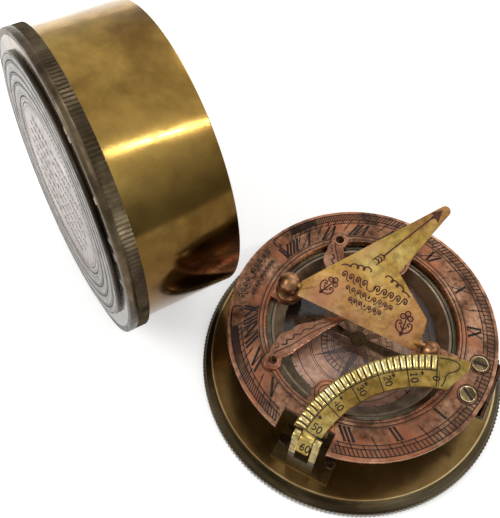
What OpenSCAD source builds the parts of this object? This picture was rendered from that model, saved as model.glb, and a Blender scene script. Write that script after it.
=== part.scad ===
// Brass sundial compass: a knurled base carries a compass drum, and a hinged hour plate
// lies over the drum with a folding gnomon and a folding latitude arc.
// The drum-shaped lid lies on its side behind the base.
// The origin is the centre of the base's underside. +X points to XII, +Y to the morning hours.

/* [Base] */
// Radius of the base over the knurled rim
base_r = 50; // [49:0.5:54]
// Height of the shoulder that the closed lid stands on
shoulder_h = 4; // [3.5:0.1:6]
// Width of the shoulder round the collar
shoulder_w = 3; // [2.5:0.25:4]
// Height of the collar above the shoulder
collar_h = 4; // [3:0.25:7]
// Width of the thin lip round the deck
lip_w = 1; // [0.6:0.1:2]
// Depth of the deck below the lip
lip_h = 0.4; // [0.2:0.1:1]
// Teeth round the base's knurl and the lid's knurl
knurl_teeth = 228; // [120:4:260]
// Depth of a knurl tooth
knurl_depth = 0.35; // [0.2:0.05:0.5]

/* [Compass drum] */
// Outer radius of the drum's wall
drum_r = 33; // [32:0.25:33.75]
// Height of the drum from the deck to the top of its flange
drum_h = 21.8; // [18:0.2:24]
// Thickness of the drum's wall
drum_wall = 1.6; // [1:0.1:2.5]
// Width that the flange stands out from the drum's wall
flange_out = 1.5; // [0.8:0.1:1.8]
// Thickness of the flange
flange_t = 1; // [0.8:0.1:1.4]
// Gap between the drum's wall and the bowl inside it
bowl_gap = 2.5; // [1:0.1:5]
// Depth from the flange's top to the card's face
card_depth = 12.4; // [11:0.2:14]
// Thickness of the compass card
card_t = 0.6; // [0.3:0.1:1]
// Depth from the flange's top to the glass
glass_depth = 3.4; // [3:0.1:4.2]
// Thickness of the glass
glass_t = 1.4; // [1:0.1:2]
// Width of the ledge that the bezel ring sits on
bezel_ledge = 2; // [1.5:0.1:2.2]
// Width of the sloping face of the bezel ring
bezel_slope = 3.1; // [2:0.1:3.4]

/* [Needle] */
// Gap between the needle's points and the bowl
needle_gap = 4.5; // [2.5:0.1:10]
// Width of the needle at its hub
needle_w = 3.4; // [3:0.1:4.5]
// Thickness of the needle
needle_t = 0.4; // [0.3:0.05:0.6]
// Height of the needle's underside above the card
needle_lift = 3.4; // [2.5:0.1:4]
// Radius of the pivot that the needle turns on
pivot_r = 0.6; // [0.4:0.05:0.8]

/* [Hour plate] */
// Width that the hour plate stands out over the drum's wall
plate_over = 8.5; // [8:0.25:9]
// Width that the hour plate reaches in over the drum's wall
plate_in = 3.7; // [3.4:0.1:4.4]
// Thickness of the hour plate
plate_t = 1.6; // [1.4:0.1:2]
// Gap between the drum's flange and the hour plate
plate_gap = 0.3; // [0.2:0.05:0.5]
// Radius of the four round lugs that stand in from the plate
lug_r = 4.6; // [4.2:0.1:5]
// Distance of the morning and evening lugs inside the plate's opening
side_lug_in = 4.6; // [3.6:0.1:5.2]
// Radius of the open hole in the morning and evening lugs
side_hole_r = 1.5; // [1:0.1:2]
// Width of the notch that clears the latitude arc's bracket
notch_w = 16.2; // [15:0.2:18]
// Depth of the notch from the plate's outer edge
notch_depth = 7.3; // [6.8:0.1:7.6]

/* [Plate hinge] */
// Distance of the hinge axis beyond the plate's edge
hinge_out = 0.5; // [0.5:0.1:1]
// Half width of the hinge along its axis
hinge_half = 9; // [8:0.25:10]
// Half length of the middle knuckle
knuckle_half = 4; // [3:0.25:5]
// Radius of the hinge barrel
barrel_r = 0.95; // [0.9:0.01:1]
// Radius of the hinge pin
hinge_pin_r = 0.45; // [0.4:0.05:0.55]
// Thickness of each hinge leaf
leaf_t = 1; // [0.8:0.05:1.05]
// Radius of the two screw heads at the noon mark
hinge_head_r = 2.5; // [2:0.1:2.8]
// Distance of the screws from the hinge axis
hinge_screw_in = 5.9; // [5:0.1:6]
// Distance of each screw from the noon line
hinge_screw_side = 5.3; // [4.5:0.1:5.8]

/* [Gnomon] */
// Angle of the shadow edge above the plate
style_angle = 52.5; // [49:0.5:56]
// Length of the shadow edge from its foot to the tip
style_l = 51.4; // [47:0.2:54]
// Thickness of the gnomon plate
gnomon_t = 1.4; // [1:0.1:1.8]
// Angle at which the gnomon rests above the flat
gnomon_lean = 38; // [30:1:50]
// Depth of the gnomon plate below its axis
gnomon_drop = 2.85; // [1:0.05:3.4]
// Height of the gnomon's axis above the hour plate
gnomon_lift = 6; // [5.2:0.1:6.2]
// Radius of the ball at the midnight end of the gnomon
midnight_ball_r = 3.45; // [3.1:0.05:3.6]
// Radius of the ball at the noon end of the gnomon
noon_ball_r = 3.05; // [2.8:0.05:3.3]
// Distance of the midnight ball inside the plate's opening
midnight_in = 4; // [3.3:0.1:4.5]
// Distance of the noon ball inside the plate's opening
noon_in = 7.8; // [7.1:0.1:8.3]
// Radius of the gnomon's trunnions
trunnion_r = 0.8; // [0.6:0.05:1]

/* [Scroll arms] */
// Radius of the round eye of each scroll arm
eye_r = 2.7; // [2.4:0.1:3]
// Distance of the eyes outside the edge of the plate's opening
eye_out = 0.9; // [0.6:0.1:1.2]
// Angle between the noon line and each eye
eye_angle = 128.3; // [125:0.1:132]
// Thickness of the scroll arms
arm_t = 1; // [0.6:0.1:1.3]
// Half width of a scroll arm at its broadest
arm_half_w = 3; // [2:0.1:3.4]
// Leaf lobes along the upper edge of a scroll arm
arm_lobes = 4; // [3:1:6]

/* [Latitude arc] */
// Width by which the arc's outer radius is larger than the hour plate's
arc_over = 1.2; // [0.6:0.1:1.8]
// Width of the latitude arc
arc_w = 8.7; // [8:0.1:9.2]
// Thickness of the latitude arc
arc_t = 1.5; // [1:0.1:1.8]
// Gap that the folded arc would leave above the hour plate
arc_gap = 0.4; // [0.4:0.05:0.6]
// Angle at which the arc rests above the flat
arc_rest = 12; // [10:0.5:16]
// Distance of the fold axis inside the plate's edge
fold_in = 1.5; // [1.2:0.1:1.6]
// Length of the arc's tail beyond the fold axis
tail_l = 4; // [3:0.25:4.75]
// Width of the tongue that the arc folds on
tongue_w = 4; // [3:0.1:4.4]
// Radius of the pin that the arc folds on
arc_pin_r = 0.8; // [0.6:0.05:0.9]

/* [Bracket] */
// Place of the bracket along the noon line
bracket_x = 0.8; // [0:0.1:1.4]
// Width of each of the two prongs
prong_w = 2; // [1.4:0.1:2.4]
// Thickness of the bracket's metal
bracket_t = 1; // [0.8:0.1:1.4]
// Height of the crease above the deck, where the prongs start
crease_h = 11.9; // [9:0.2:14]
// Width of the bracket's foot along the noon line
foot_w = 19; // [17:0.5:22]
// Radius of the heads of the foot screws
foot_head_r = 1.7; // [1.3:0.1:1.9]

/* [Lid] */
// Length of the lid from its flat face to its open end
lid_l = 36.7; // [36:0.1:40]
// Thickness of the lid's side wall
lid_wall = 0.9; // [0.7:0.05:1]
// Thickness of the lid's flat face
lid_face_t = 1.2; // [1:0.1:1.6]
// Width that the lid's knurled band stands out from its side
band_out = 2; // [1:0.25:4]
// Width of the lid's knurled band
band_w = 6; // [4:0.25:9]
// Width of the plain ring round the lid's raised medallion
face_w = 4.6; // [3:0.2:8]
// Height of the medallion
medallion_h = 1.4; // [0.8:0.1:2]
// Direction that the open end of the lying lid points to
lid_turn = 58.25; // [57.5:0.25:60]
// Distance that the lid lies away from the place where it would touch the base
lid_away = 1.53; // [1.5:0.1:10]
// Distance of the middle of the lid's open end from the noon line
lid_side = 20.44; // [20:0.1:24]

/* [Fits] */
// Radial clearance of a pin that turns in its bore
run_fit = 0.05; // [0.03:0.01:0.1]
// Radial clearance of a pin or screw that stays in its hole
set_fit = 0.02; // [0.01:0.01:0.05]
// Radial clearance between the collar and the closed lid
lid_fit = 0.1; // [0.05:0.05:0.3]
// Gap between pieces that move past each other
free_gap = 0.3; // [0.25:0.05:0.4]

/* [Hidden] */
$fn = 96;
// A cut reaches this far past the face that it goes through
cut = 1;

// Radius of the collar that the closed lid slides over
collar_r = base_r - shoulder_w;

// Heights of the base
collar_z = shoulder_h + collar_h;
deck_z = collar_z - lip_h;
edge_break = 0.5;
knurl_top = shoulder_h - 0.8;
shoulder_edge_r = base_r - 1.1;

// Heights of the compass
flange_z = deck_z + drum_h;
flange_under = flange_z - flange_t;
flange_r = drum_r + flange_out;
glass_z = flange_z - glass_depth;
card_z = flange_z - card_depth;
bowl_floor_z = card_z - card_t;
bowl_floor_t = 1.6;
bowl_wall = 0.9;
bowl_r = drum_r - drum_wall - bowl_gap;
bezel_bore_r = bowl_r - bowl_wall;
bowl_bore_r = bezel_bore_r - bezel_ledge;
bezel_h = glass_depth - free_gap;
bezel_in_r = bezel_bore_r - run_fit - bezel_slope - 0.9;
seat_w = 0.9;
post_foot_r = 1.45;
post_neck_r = 0.95;
needle_z = card_z + needle_lift;
needle_l = bowl_bore_r - needle_gap;
needle_hub_r = 2.6;
cap_sleeve_r = pivot_r + run_fit + 0.6;
cap_head_r = cap_sleeve_r + 0.8;
cap_head_z = needle_z + needle_t;
cap_bore_top = cap_head_z + 0.35;
cap_h = 1.7;
pivot_cone = 0.5;

// Places on the hour plate
plate_r = drum_r + plate_over;
plate_bore_r = drum_r - plate_in;
midnight_d = plate_bore_r - midnight_in;
noon_d = plate_bore_r - noon_in;
side_lug_d = plate_bore_r - side_lug_in;
eye_back = -(plate_bore_r + eye_out) * cos(eye_angle);
eye_side = (plate_bore_r + eye_out) * sin(eye_angle);

// Heights of the hour plate
plate_z = flange_z + plate_gap;
plate_top = plate_z + plate_t;
notch_y = plate_r - notch_depth;
post_stem_r = 1.2;
post_collar_h = 0.9;
eye_hole_r = 1.6;
rivet_bore_r = 1.35;

// The plate's hinge lies under the plate's edge, past the drum's flange
hinge_x = plate_r + hinge_out;
hinge_z = plate_z - barrel_r - 0.25;
screw_x = hinge_x - hinge_screw_in;
screw_shank_r = 1;
screw_head_h = 0.7;
slot_w = 0.6;
slot_d = 0.4;

// The gnomon lies in a plane through its axis: u runs along X, v away from the axis
axis_z = plate_top + gnomon_lift;
heel_u = midnight_ball_r + free_gap + 0.35 - midnight_d;
heel_lean = 0.5;
toe_u = noon_d - noon_ball_r - 1.05;
style_foot = 2.2 - midnight_d;
tip_r = 1.6;
waist = [3.7, 16.6];
toe_rise = 7.4;
trunnion_l = 2.1;
style_dir = [cos(style_angle), sin(style_angle)];
style_in = [sin(style_angle), -cos(style_angle)];
tip_centre = [style_foot, 0] + (style_l - tip_r) * style_dir + tip_r * style_in;
back_rise = tip_centre - waist;
tip_sweep = 180 + style_angle - atan2(back_rise[1], back_rise[0]);
tip_steps = 14;

// The latitude arc folds about an axis along X
fold_y = fold_in - plate_r;
arc_under = -0.5;
fold_z = plate_top + arc_gap - arc_under;
tongue_r = 1.5;
arc_heel = 5.3;
arc_root_v = 2;
arc_r = plate_r + arc_over;
arc_inner_r = arc_r - arc_w;
arc_centre = [bracket_x - arc_heel + arc_r, -1.7];
arc_inner_centre = arc_centre + [-0.2, -0.9];
arc_tip_u = arc_centre[0] - 5;
arc_tip_v = -fold_y - 1.7;
arc_tip_run = [3.6, 8.1];
arc_tip_rise = [0.5, 2.9];
tongue_gap = 0.2;

// The bracket is bent from one strip, with the drum behind it
strap_w = tongue_w + 2 * tongue_gap + 2 * prong_w;
bracket_back_y = -drum_r - run_fit;
bracket_front_y = fold_y - 2.6;
crease_z = deck_z + crease_h;
prong_tip_r = 1.6;
upright_top = flange_under - 0.5;
foot_screw_x = foot_w / 2 - foot_head_r;
foot_screw_y = bracket_back_y - bracket_t - foot_head_r - 0.5;
foot_head_h = 0.8;
foot_shank_r = 0.9;
foot_shank_l = 2.5;

// The lid is drawn along its own axis, from its flat face to its open end
medallion_lap = 1.6;
medallion_t = 1;
lid_bore_r = collar_r + lid_fit;
lid_r = lid_bore_r + lid_wall;
band_r = lid_r + band_out;
medallion_r = lid_r - face_w;
lid_dip = atan((band_r - lid_r) / (lid_l - band_w));
lid_mouth_z = band_r * cos(lid_dip) - (lid_l - band_w) * sin(lid_dip);
lid_reach = 2 * base_r + plate_r - 62;
lid_back = lid_reach + lid_away;

function knurl_outline(r, depth, teeth) = [
    for (i = [0 : teeth - 1], k = [0, 1])
        let(a = 360 * (i + k / 2) / teeth, q = r - depth * k)
            [q * cos(a), q * sin(a)]
];

// A knurled band, solid to the axis
module knurled_disc(r, h) {
    linear_extrude(h) polygon(knurl_outline(r, knurl_depth, knurl_teeth));
}

// A screw with a slotted head, whose head stands on z = 0
module slotted_screw(head_r, head_h, shank_r, shank_l) {
    difference() {
        union() {
            rotate_extrude() polygon([
                [0, 0], [head_r, 0], [head_r, head_h - 0.25], [head_r - 0.25, head_h],
                [0, head_h]
            ]);
            translate([0, 0, -shank_l]) cylinder(r = shank_r, h = shank_l + head_h / 2);
        }
        translate([-head_r - cut, -slot_w / 2, head_h - slot_d])
            cube([2 * (head_r + cut), slot_w, slot_d + cut]);
    }
}

module base_plate() {
    core_r = base_r - knurl_depth - 0.05;
    color([0.47, 0.40, 0.30]) difference() {
        union() {
            rotate_extrude() polygon([
                [0, 0], [core_r - edge_break, 0], [core_r, edge_break], [core_r, knurl_top],
                [shoulder_edge_r, shoulder_h], [collar_r, shoulder_h],
                [collar_r, collar_z - 0.2], [collar_r - 0.2, collar_z],
                [collar_r - lip_w, collar_z], [collar_r - lip_w, deck_z], [0, deck_z]
            ]);
            translate([0, 0, edge_break]) knurled_disc(base_r, knurl_top - edge_break);
        }
        foot_screw_places() translate([0, 0, deck_z - foot_shank_l])
            cylinder(r = foot_shank_r + set_fit, h = foot_shank_l + cut);
    }
}

module compass_drum() {
    groove_r = bezel_bore_r + 0.6;
    groove_w = 0.25;
    groove_d = 0.2;
    color([0.50, 0.47, 0.40]) rotate_extrude() polygon([
        [drum_r - drum_wall, deck_z], [drum_r, deck_z], [drum_r, flange_under],
        [flange_r, flange_under], [flange_r, flange_z - 0.2], [flange_r - 0.2, flange_z],
        [groove_r + groove_w, flange_z], [groove_r + groove_w, flange_z - groove_d],
        [groove_r, flange_z - groove_d], [groove_r, flange_z], [bezel_bore_r, flange_z],
        [bezel_bore_r, flange_under], [drum_r - drum_wall, flange_under]
    ]);
}

module compass_bowl() {
    skirt_r = bowl_bore_r;
    floor_under = bowl_floor_z - bowl_floor_t;
    color([0.45, 0.38, 0.27]) rotate_extrude() polygon([
        [post_foot_r + set_fit, floor_under], [skirt_r, floor_under], [skirt_r, deck_z],
        [bowl_r, deck_z], [bowl_r, flange_under], [bezel_bore_r, flange_under],
        [bezel_bore_r, glass_z], [bowl_bore_r, glass_z], [bowl_bore_r, bowl_floor_z],
        [post_foot_r + set_fit, bowl_floor_z]
    ]);
}

module compass_card() {
    color([0.80, 0.52, 0.36]) translate([0, 0, bowl_floor_z]) difference() {
        cylinder(r = bowl_bore_r - 0.2, h = card_t);
        translate([0, 0, -cut]) cylinder(r = post_neck_r + set_fit, h = card_t + 2 * cut);
    }
}

module pivot_post() {
    floor_under = bowl_floor_z - bowl_floor_t;
    step_z = card_z + needle_lift / 2;
    tip_z = cap_bore_top + pivot_cone - 0.1;
    color([0.72, 0.58, 0.30]) rotate_extrude() polygon([
        [0, floor_under], [post_foot_r, floor_under], [post_foot_r, bowl_floor_z],
        [post_neck_r, bowl_floor_z], [post_neck_r, step_z], [pivot_r, step_z + 0.5],
        [pivot_r, cap_bore_top - 0.1], [0.08, tip_z], [0, tip_z]
    ]);
}

// The ring that stands on the card's edge and holds up the glass
module glass_seat() {
    color([0.55, 0.45, 0.28]) translate([0, 0, card_z]) difference() {
        cylinder(r = bowl_bore_r - run_fit, h = glass_z - glass_t - card_z);
        translate([0, 0, -cut])
            cylinder(r = bowl_bore_r - run_fit - seat_w, h = drum_h);
    }
}

module compass_glass() {
    color([0.75, 0.85, 0.88, 0.4]) translate([0, 0, glass_z - glass_t])
        cylinder(r = bowl_bore_r - 0.4, h = glass_t);
}

module bezel_ring() {
    outer = bezel_bore_r - run_fit;
    top = glass_z + bezel_h;
    color([0.60, 0.49, 0.28]) rotate_extrude() polygon([
        [bezel_in_r, glass_z], [outer, glass_z], [outer, top - 0.2], [outer - 0.2, top],
        [bezel_in_r + bezel_slope, top], [bezel_in_r, glass_z + 0.4]
    ]);
}

module compass_needle() {
    neck = needle_hub_r * 0.8;
    color([0.16, 0.15, 0.16]) translate([0, 0, needle_z]) linear_extrude(needle_t)
        difference() {
            union() {
                circle(r = needle_hub_r);
                for (side = [0, 180]) rotate(side) polygon([
                    [neck, -needle_w / 4], [needle_l * 0.62, -needle_w / 2],
                    [needle_l, 0], [needle_l * 0.62, needle_w / 2], [neck, needle_w / 4],
                    [0, 0]
                ]);
            }
            circle(r = cap_sleeve_r + set_fit);
        }
}

module needle_cap() {
    bore = pivot_r + run_fit;
    sleeve_z = needle_z - 0.3;
    color([0.62, 0.46, 0.22]) rotate_extrude() polygon([
        [bore, sleeve_z], [cap_sleeve_r, sleeve_z], [cap_sleeve_r, cap_head_z],
        [cap_head_r, cap_head_z], [cap_head_r, cap_head_z + 0.5],
        [cap_sleeve_r, cap_head_z + 1.1], [cap_sleeve_r * 0.6, cap_head_z + cap_h],
        [0, cap_head_z + cap_h], [0, cap_bore_top + pivot_cone], [bore, cap_bore_top]
    ]);
}

// A cylinder along the plate's hinge axis
module along_hinge(r, y0, y1) {
    translate([hinge_x, y0, hinge_z]) rotate([-90, 0, 0]) cylinder(r = r, h = y1 - y0);
}

module hinge_leaf_fixed() {
    leaf_x = drum_r - 1;
    inner_end = knuckle_half + free_gap;
    color([0.52, 0.42, 0.26]) difference() {
        union() {
            translate([leaf_x, -hinge_half, flange_under - leaf_t])
                cube([hinge_x - leaf_x, 2 * hinge_half, leaf_t]);
            along_hinge(barrel_r, -hinge_half, hinge_half);
        }
        along_hinge(hinge_pin_r + set_fit, -hinge_half - cut, hinge_half + cut);
        translate([0, 0, deck_z]) cylinder(r = drum_r + set_fit, h = drum_h);
        translate([hinge_x - barrel_r - free_gap, -inner_end, deck_z])
            cube([2 * (barrel_r + free_gap), 2 * inner_end, drum_h + cut]);
    }
}

module plate_hinge_pin() {
    color([0.62, 0.52, 0.32]) along_hinge(hinge_pin_r, -hinge_half, hinge_half);
}

module hinge_leaf_moving() {
    leaf_x = flange_r - 1;
    knuckle_x = hinge_x - barrel_r - free_gap;
    color([0.58, 0.40, 0.28]) difference() {
        union() {
            translate([leaf_x, -hinge_half, plate_z - leaf_t])
                cube([knuckle_x - leaf_x, 2 * hinge_half, leaf_t]);
            translate([leaf_x, -knuckle_half, plate_z - leaf_t])
                cube([hinge_x - leaf_x, 2 * knuckle_half, leaf_t]);
            along_hinge(barrel_r, -knuckle_half, knuckle_half);
        }
        along_hinge(hinge_pin_r + run_fit, -knuckle_half - cut, knuckle_half + cut);
        translate([0, 0, deck_z]) cylinder(r = flange_r + free_gap, h = drum_h + cut);
        hinge_screw_places() translate([0, 0, -plate_t - leaf_t - cut])
            cylinder(r = screw_shank_r + set_fit, h = plate_t + leaf_t + 2 * cut);
        translate([knuckle_x, -hinge_half - cut, plate_z])
            cube([hinge_out + barrel_r + cut, 2 * (hinge_half + cut), cut]);
    }
}

// The two screws at the noon mark, with their heads on the plate's top
module hinge_screw_places() {
    for (side = [-1, 1]) translate([screw_x, side * hinge_screw_side, plate_top]) children();
}

module hinge_screws() {
    color([0.66, 0.58, 0.45]) hinge_screw_places() rotate(65)
        slotted_screw(hinge_head_r, screw_head_h, screw_shank_r, plate_t + leaf_t);
}

// Places of the four lugs as distances from the centre and directions
lugs = [[midnight_d, 180], [noon_d, 0], [side_lug_d, 90], [side_lug_d, -90]];

module hour_plate() {
    line_out_r = plate_bore_r + 2.2;
    line_in_r = plate_bore_r + 1;
    line_w = 0.3;
    line_d = 0.25;
    bevel = 0.6;
    color([0.83, 0.56, 0.44]) difference() {
        union() {
            rotate_extrude() polygon([
                [plate_bore_r, plate_z], [plate_r, plate_z], [plate_r, plate_top - 0.2],
                [plate_r - 0.2, plate_top], [line_out_r + line_w, plate_top],
                [line_out_r + line_w / 2, plate_top - line_d], [line_out_r, plate_top],
                [line_in_r + line_w, plate_top],
                [line_in_r + line_w / 2, plate_top - line_d], [line_in_r, plate_top],
                [plate_bore_r + bevel, plate_top], [plate_bore_r, plate_top - bevel]
            ]);
            for (lug = lugs) rotate(lug[1]) translate([0, 0, plate_z])
                linear_extrude(plate_t) difference() {
                    union() {
                        translate([lug[0], 0]) circle(r = lug_r);
                        translate([lug[0], -lug_r])
                            square([plate_bore_r + 0.3 - lug[0], 2 * lug_r]);
                    }
                    circle(r = lug[0] - lug_r - cut);
                }
            eye_places() translate([0, 0, -plate_t]) cylinder(r = eye_r, h = plate_t);
        }
        translate([bracket_x - 1.7 - notch_w / 2, -plate_r - cut, plate_z - cut])
            cube([notch_w, notch_depth + cut, plate_t + 2 * cut]);
        for (lug = lugs) rotate(lug[1]) translate([lug[0], 0, plate_z - cut])
            cylinder(r = abs(lug[1]) == 90 ? side_hole_r : post_stem_r + set_fit,
                h = plate_t + 2 * cut);
        eye_places() translate([0, 0, -plate_t - cut])
            cylinder(r = eye_hole_r + set_fit, h = plate_t + 2 * cut);
        hinge_screw_places() translate([0, 0, -plate_t - cut])
            cylinder(r = screw_shank_r + set_fit, h = plate_t + 2 * cut);
    }
}

// A post with a ball on a neck, whose bore faces the gnomon; side is 1 at the noon end
module ball_post(side, d, r) {
    bore_l = trunnion_l + 0.3;
    neck_r = r * 0.66;
    neck_z = plate_top + post_collar_h;
    translate([side * d, 0, 0]) difference() {
        union() {
            translate([0, 0, axis_z]) sphere(r = r);
            rotate_extrude() polygon([
                [0, plate_z], [post_stem_r, plate_z], [post_stem_r, plate_top],
                [r, plate_top], [r, neck_z - 0.2], [r - 0.2, neck_z], [neck_r, neck_z],
                [neck_r, axis_z], [0, axis_z]
            ]);
        }
        translate([-side * (r + cut), 0, axis_z]) rotate([0, side * 90, 0])
            cylinder(r = trunnion_r + run_fit, h = bore_l + cut);
    }
}

module midnight_post() {
    color([0.80, 0.58, 0.45]) ball_post(-1, midnight_d, midnight_ball_r);
}

module noon_post() {
    color([0.80, 0.58, 0.45]) ball_post(1, noon_d, noon_ball_r);
}

module gnomon() {
    style_start_u = heel_u - heel_lean;
    toe_top = [toe_u - 0.6, toe_rise];
    ferrule_r = 1.2;
    ferrule_l = noon_d - noon_ball_r - free_gap - toe_u;
    heel_pin = trunnion_l + heel_lean + free_gap;
    color([0.82, 0.64, 0.36]) translate([0, 0, axis_z]) rotate([gnomon_lean, 0, 0]) {
        translate([0, 0, -gnomon_t / 2]) linear_extrude(gnomon_t) polygon([
            [heel_u, -gnomon_drop],
            [style_start_u, (style_start_u - style_foot) * tan(style_angle)],
            for (i = [0 : tip_steps])
                let(a = 90 + style_angle - i * tip_sweep / tip_steps)
                    tip_centre + tip_r * [cos(a), sin(a)],
            waist, toe_top, [toe_u, toe_rise / 2], [toe_u, 0],
            [toe_u - 0.6, -gnomon_drop]
        ]);
        translate([heel_u - heel_pin, 0, 0]) rotate([0, 90, 0])
            cylinder(r = trunnion_r, h = heel_pin + cut);
        translate([toe_u - cut, 0, 0]) rotate([0, 90, 0]) {
            cylinder(r = ferrule_r, h = ferrule_l + cut);
            cylinder(r = trunnion_r, h = cut + ferrule_l + free_gap + trunnion_l);
        }
    }
}

// The eyes of the scroll arms, on the plate's top
module eye_places() {
    for (side = [-1, 1]) translate([-eye_back, side * eye_side, plate_top]) children();
}

// Outline of the evening arm: a bent leaf from its eye to its end under the gnomon
arm_path = [[-eye_back, -eye_side], [-eye_back - 0.8, -15.5], [-5.7, -0.8]];
arm_steps = 32;

function on_arm(t) = pow(1 - t, 2) * arm_path[0] + 2 * t * (1 - t) * arm_path[1]
    + t * t * arm_path[2];
function arm_dir(t) = let(d = (1 - t) * (arm_path[1] - arm_path[0])
    + t * (arm_path[2] - arm_path[1])) d / norm(d);
function arm_side(t, w) = let(d = arm_dir(t)) on_arm(t) + w * [d[1], -d[0]];
function arm_w(t) = 0.35 + (arm_half_w - 0.35) * pow(sin(180 * pow(t, 0.8)), 0.8);
function arm_lobe(t) = 0.7 * sin(180 * t) * abs(sin(180 * arm_lobes * t));

module scroll_arm() {
    edge_out = [for (i = [0 : arm_steps]) let(t = i / arm_steps) arm_side(t, arm_w(t))];
    edge_in = [for (i = [arm_steps : -1 : 0]) let(t = i / arm_steps)
        arm_side(t, -arm_w(t) - arm_lobe(t))];
    translate([0, 0, plate_top]) linear_extrude(arm_t) difference() {
        union() {
            polygon(concat(edge_out, edge_in));
            translate(arm_path[0]) circle(r = eye_r);
        }
        translate(arm_path[0]) circle(r = eye_hole_r + set_fit);
    }
}

module scroll_arm_pm() {
    color([0.82, 0.60, 0.47]) scroll_arm();
}

module scroll_arm_am() {
    color([0.82, 0.60, 0.47]) mirror([0, 1, 0]) scroll_arm();
}

// Hollow rivets that hold the eyes of the scroll arms to the plate
module arm_rivets() {
    brim = 0.25;
    color([0.72, 0.50, 0.38]) eye_places() difference() {
        union() {
            translate([0, 0, -plate_t]) cylinder(r = eye_hole_r, h = plate_t + arm_t);
            translate([0, 0, arm_t]) cylinder(r = eye_hole_r + 0.4, h = brim);
        }
        translate([0, 0, -plate_t - cut])
            cylinder(r = rivet_bore_r, h = plate_t + arm_t + 2 * cut + brim);
    }
}

// A cylinder along the arc's fold axis
module along_fold(r, x0, x1) {
    translate([x0, fold_y, fold_z]) rotate([0, 90, 0]) cylinder(r = r, h = x1 - x0);
}

// The two screws of the bracket's foot, on top of the deck
module foot_screw_places() {
    for (side = [-1, 1]) translate([bracket_x + side * foot_screw_x, foot_screw_y, 0])
        children();
}

module arc_bracket() {
    slot_half = tongue_w / 2 + tongue_gap;
    x0 = bracket_x - strap_w / 2;
    front = bracket_front_y;
    t = bracket_t;
    prong_t = 0.6;
    color([0.42, 0.35, 0.22]) difference() {
        union() {
            translate([bracket_x - foot_w / 2, front, deck_z])
                cube([foot_w, bracket_back_y - front, t]);
            translate([x0, 0, 0]) rotate([90, 0, 90]) linear_extrude(strap_w) polygon([
                [front, deck_z], [bracket_back_y, deck_z], [bracket_back_y, upright_top],
                [bracket_back_y - t, upright_top], [bracket_back_y - t, deck_z + t],
                [front + t, deck_z + t], [front + t, crease_z],
                [fold_y + prong_t, fold_z], [fold_y - prong_t, fold_z], [front, crease_z]
            ]);
            along_fold(prong_tip_r, x0, x0 + strap_w);
        }
        along_fold(arc_pin_r + set_fit, x0 - cut, x0 + strap_w + cut);
        translate([bracket_x - slot_half, front - cut, crease_z])
            cube([2 * slot_half, -fold_y, drum_h]);
        translate([0, 0, deck_z - cut]) foot_screw_places()
            cylinder(r = foot_shank_r + set_fit, h = t + 2 * cut);
    }
}

module bracket_screws() {
    color([0.50, 0.42, 0.28]) foot_screw_places() translate([0, 0, deck_z + bracket_t])
        rotate(30) slotted_screw(foot_head_r, foot_head_h, foot_shank_r,
            bracket_t + foot_shank_l - 0.2);
}

module arc_pin() {
    color([0.60, 0.52, 0.34])
        along_fold(arc_pin_r, bracket_x - strap_w / 2, bracket_x + strap_w / 2);
}

// The arc is drawn flat, with v measured from the fold axis, and then raised
module latitude_arc() {
    half = tongue_w / 2;
    tip_end = [arc_tip_u, arc_tip_v];
    tip_in = tip_end - arc_tip_run;
    tip_out = tip_end + [-arc_tip_rise[0], arc_tip_rise[1]];
    far = 2 * arc_r;
    color([0.85, 0.74, 0.40]) translate([0, fold_y, fold_z]) rotate([arc_rest, 0, 0])
        difference() {
            union() {
                translate([0, 0, arc_under]) linear_extrude(arc_t) union() {
                    difference() {
                        translate(arc_centre) circle(r = arc_r, $fn = 180);
                        translate(arc_inner_centre) circle(r = arc_inner_r, $fn = 180);
                        translate([-far, arc_root_v - far]) square([2 * far, far]);
                        polygon([
                            [tip_in[0], -far], tip_in, tip_end, tip_out,
                            [tip_out[0], far], [far, far], [far, -far]
                        ]);
                    }
                    translate([bracket_x - half, -tail_l])
                        square([tongue_w, arc_root_v + tail_l + cut]);
                }
                translate([bracket_x - half, 0, 0]) rotate([0, 90, 0])
                    cylinder(r = tongue_r, h = tongue_w);
            }
            translate([bracket_x - half - cut, 0, 0]) rotate([0, 90, 0])
                cylinder(r = arc_pin_r + run_fit, h = tongue_w + 2 * cut);
        }
}

// Puts a piece of the lid, drawn along +Z from its face, where the lid lies on its side
module on_lid() {
    translate([-lid_back, lid_side, lid_mouth_z]) rotate(lid_turn)
        rotate([0, 90 + lid_dip, 0]) translate([0, 0, -lid_l]) children();
}

module lid_shell() {
    mouth_r = medallion_r - medallion_lap;
    color([0.60, 0.50, 0.24]) on_lid() rotate_extrude($fn = 180) polygon([
        [mouth_r, 0], [lid_r, 0], [lid_r, lid_l - 0.2], [lid_r - 0.2, lid_l],
        [lid_bore_r, lid_l], [lid_bore_r, lid_face_t], [mouth_r, lid_face_t]
    ]);
}

module lid_rim() {
    core_r = band_r - knurl_depth - 0.05;
    inner = lid_r + set_fit;
    color([0.38, 0.32, 0.22]) on_lid() difference() {
        union() {
            rotate_extrude($fn = 180) polygon([
                [inner - 1, 0], [band_r - 0.5, 0], [core_r, 0.3], [core_r, band_w - 0.4],
                [core_r - 0.4, band_w], [inner - 1, band_w]
            ]);
            translate([0, 0, 0.3]) knurled_disc(band_r, band_w - 0.3);
        }
        translate([0, 0, -cut]) cylinder(r = inner, h = band_w + 2 * cut, $fn = 180);
    }
}

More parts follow.
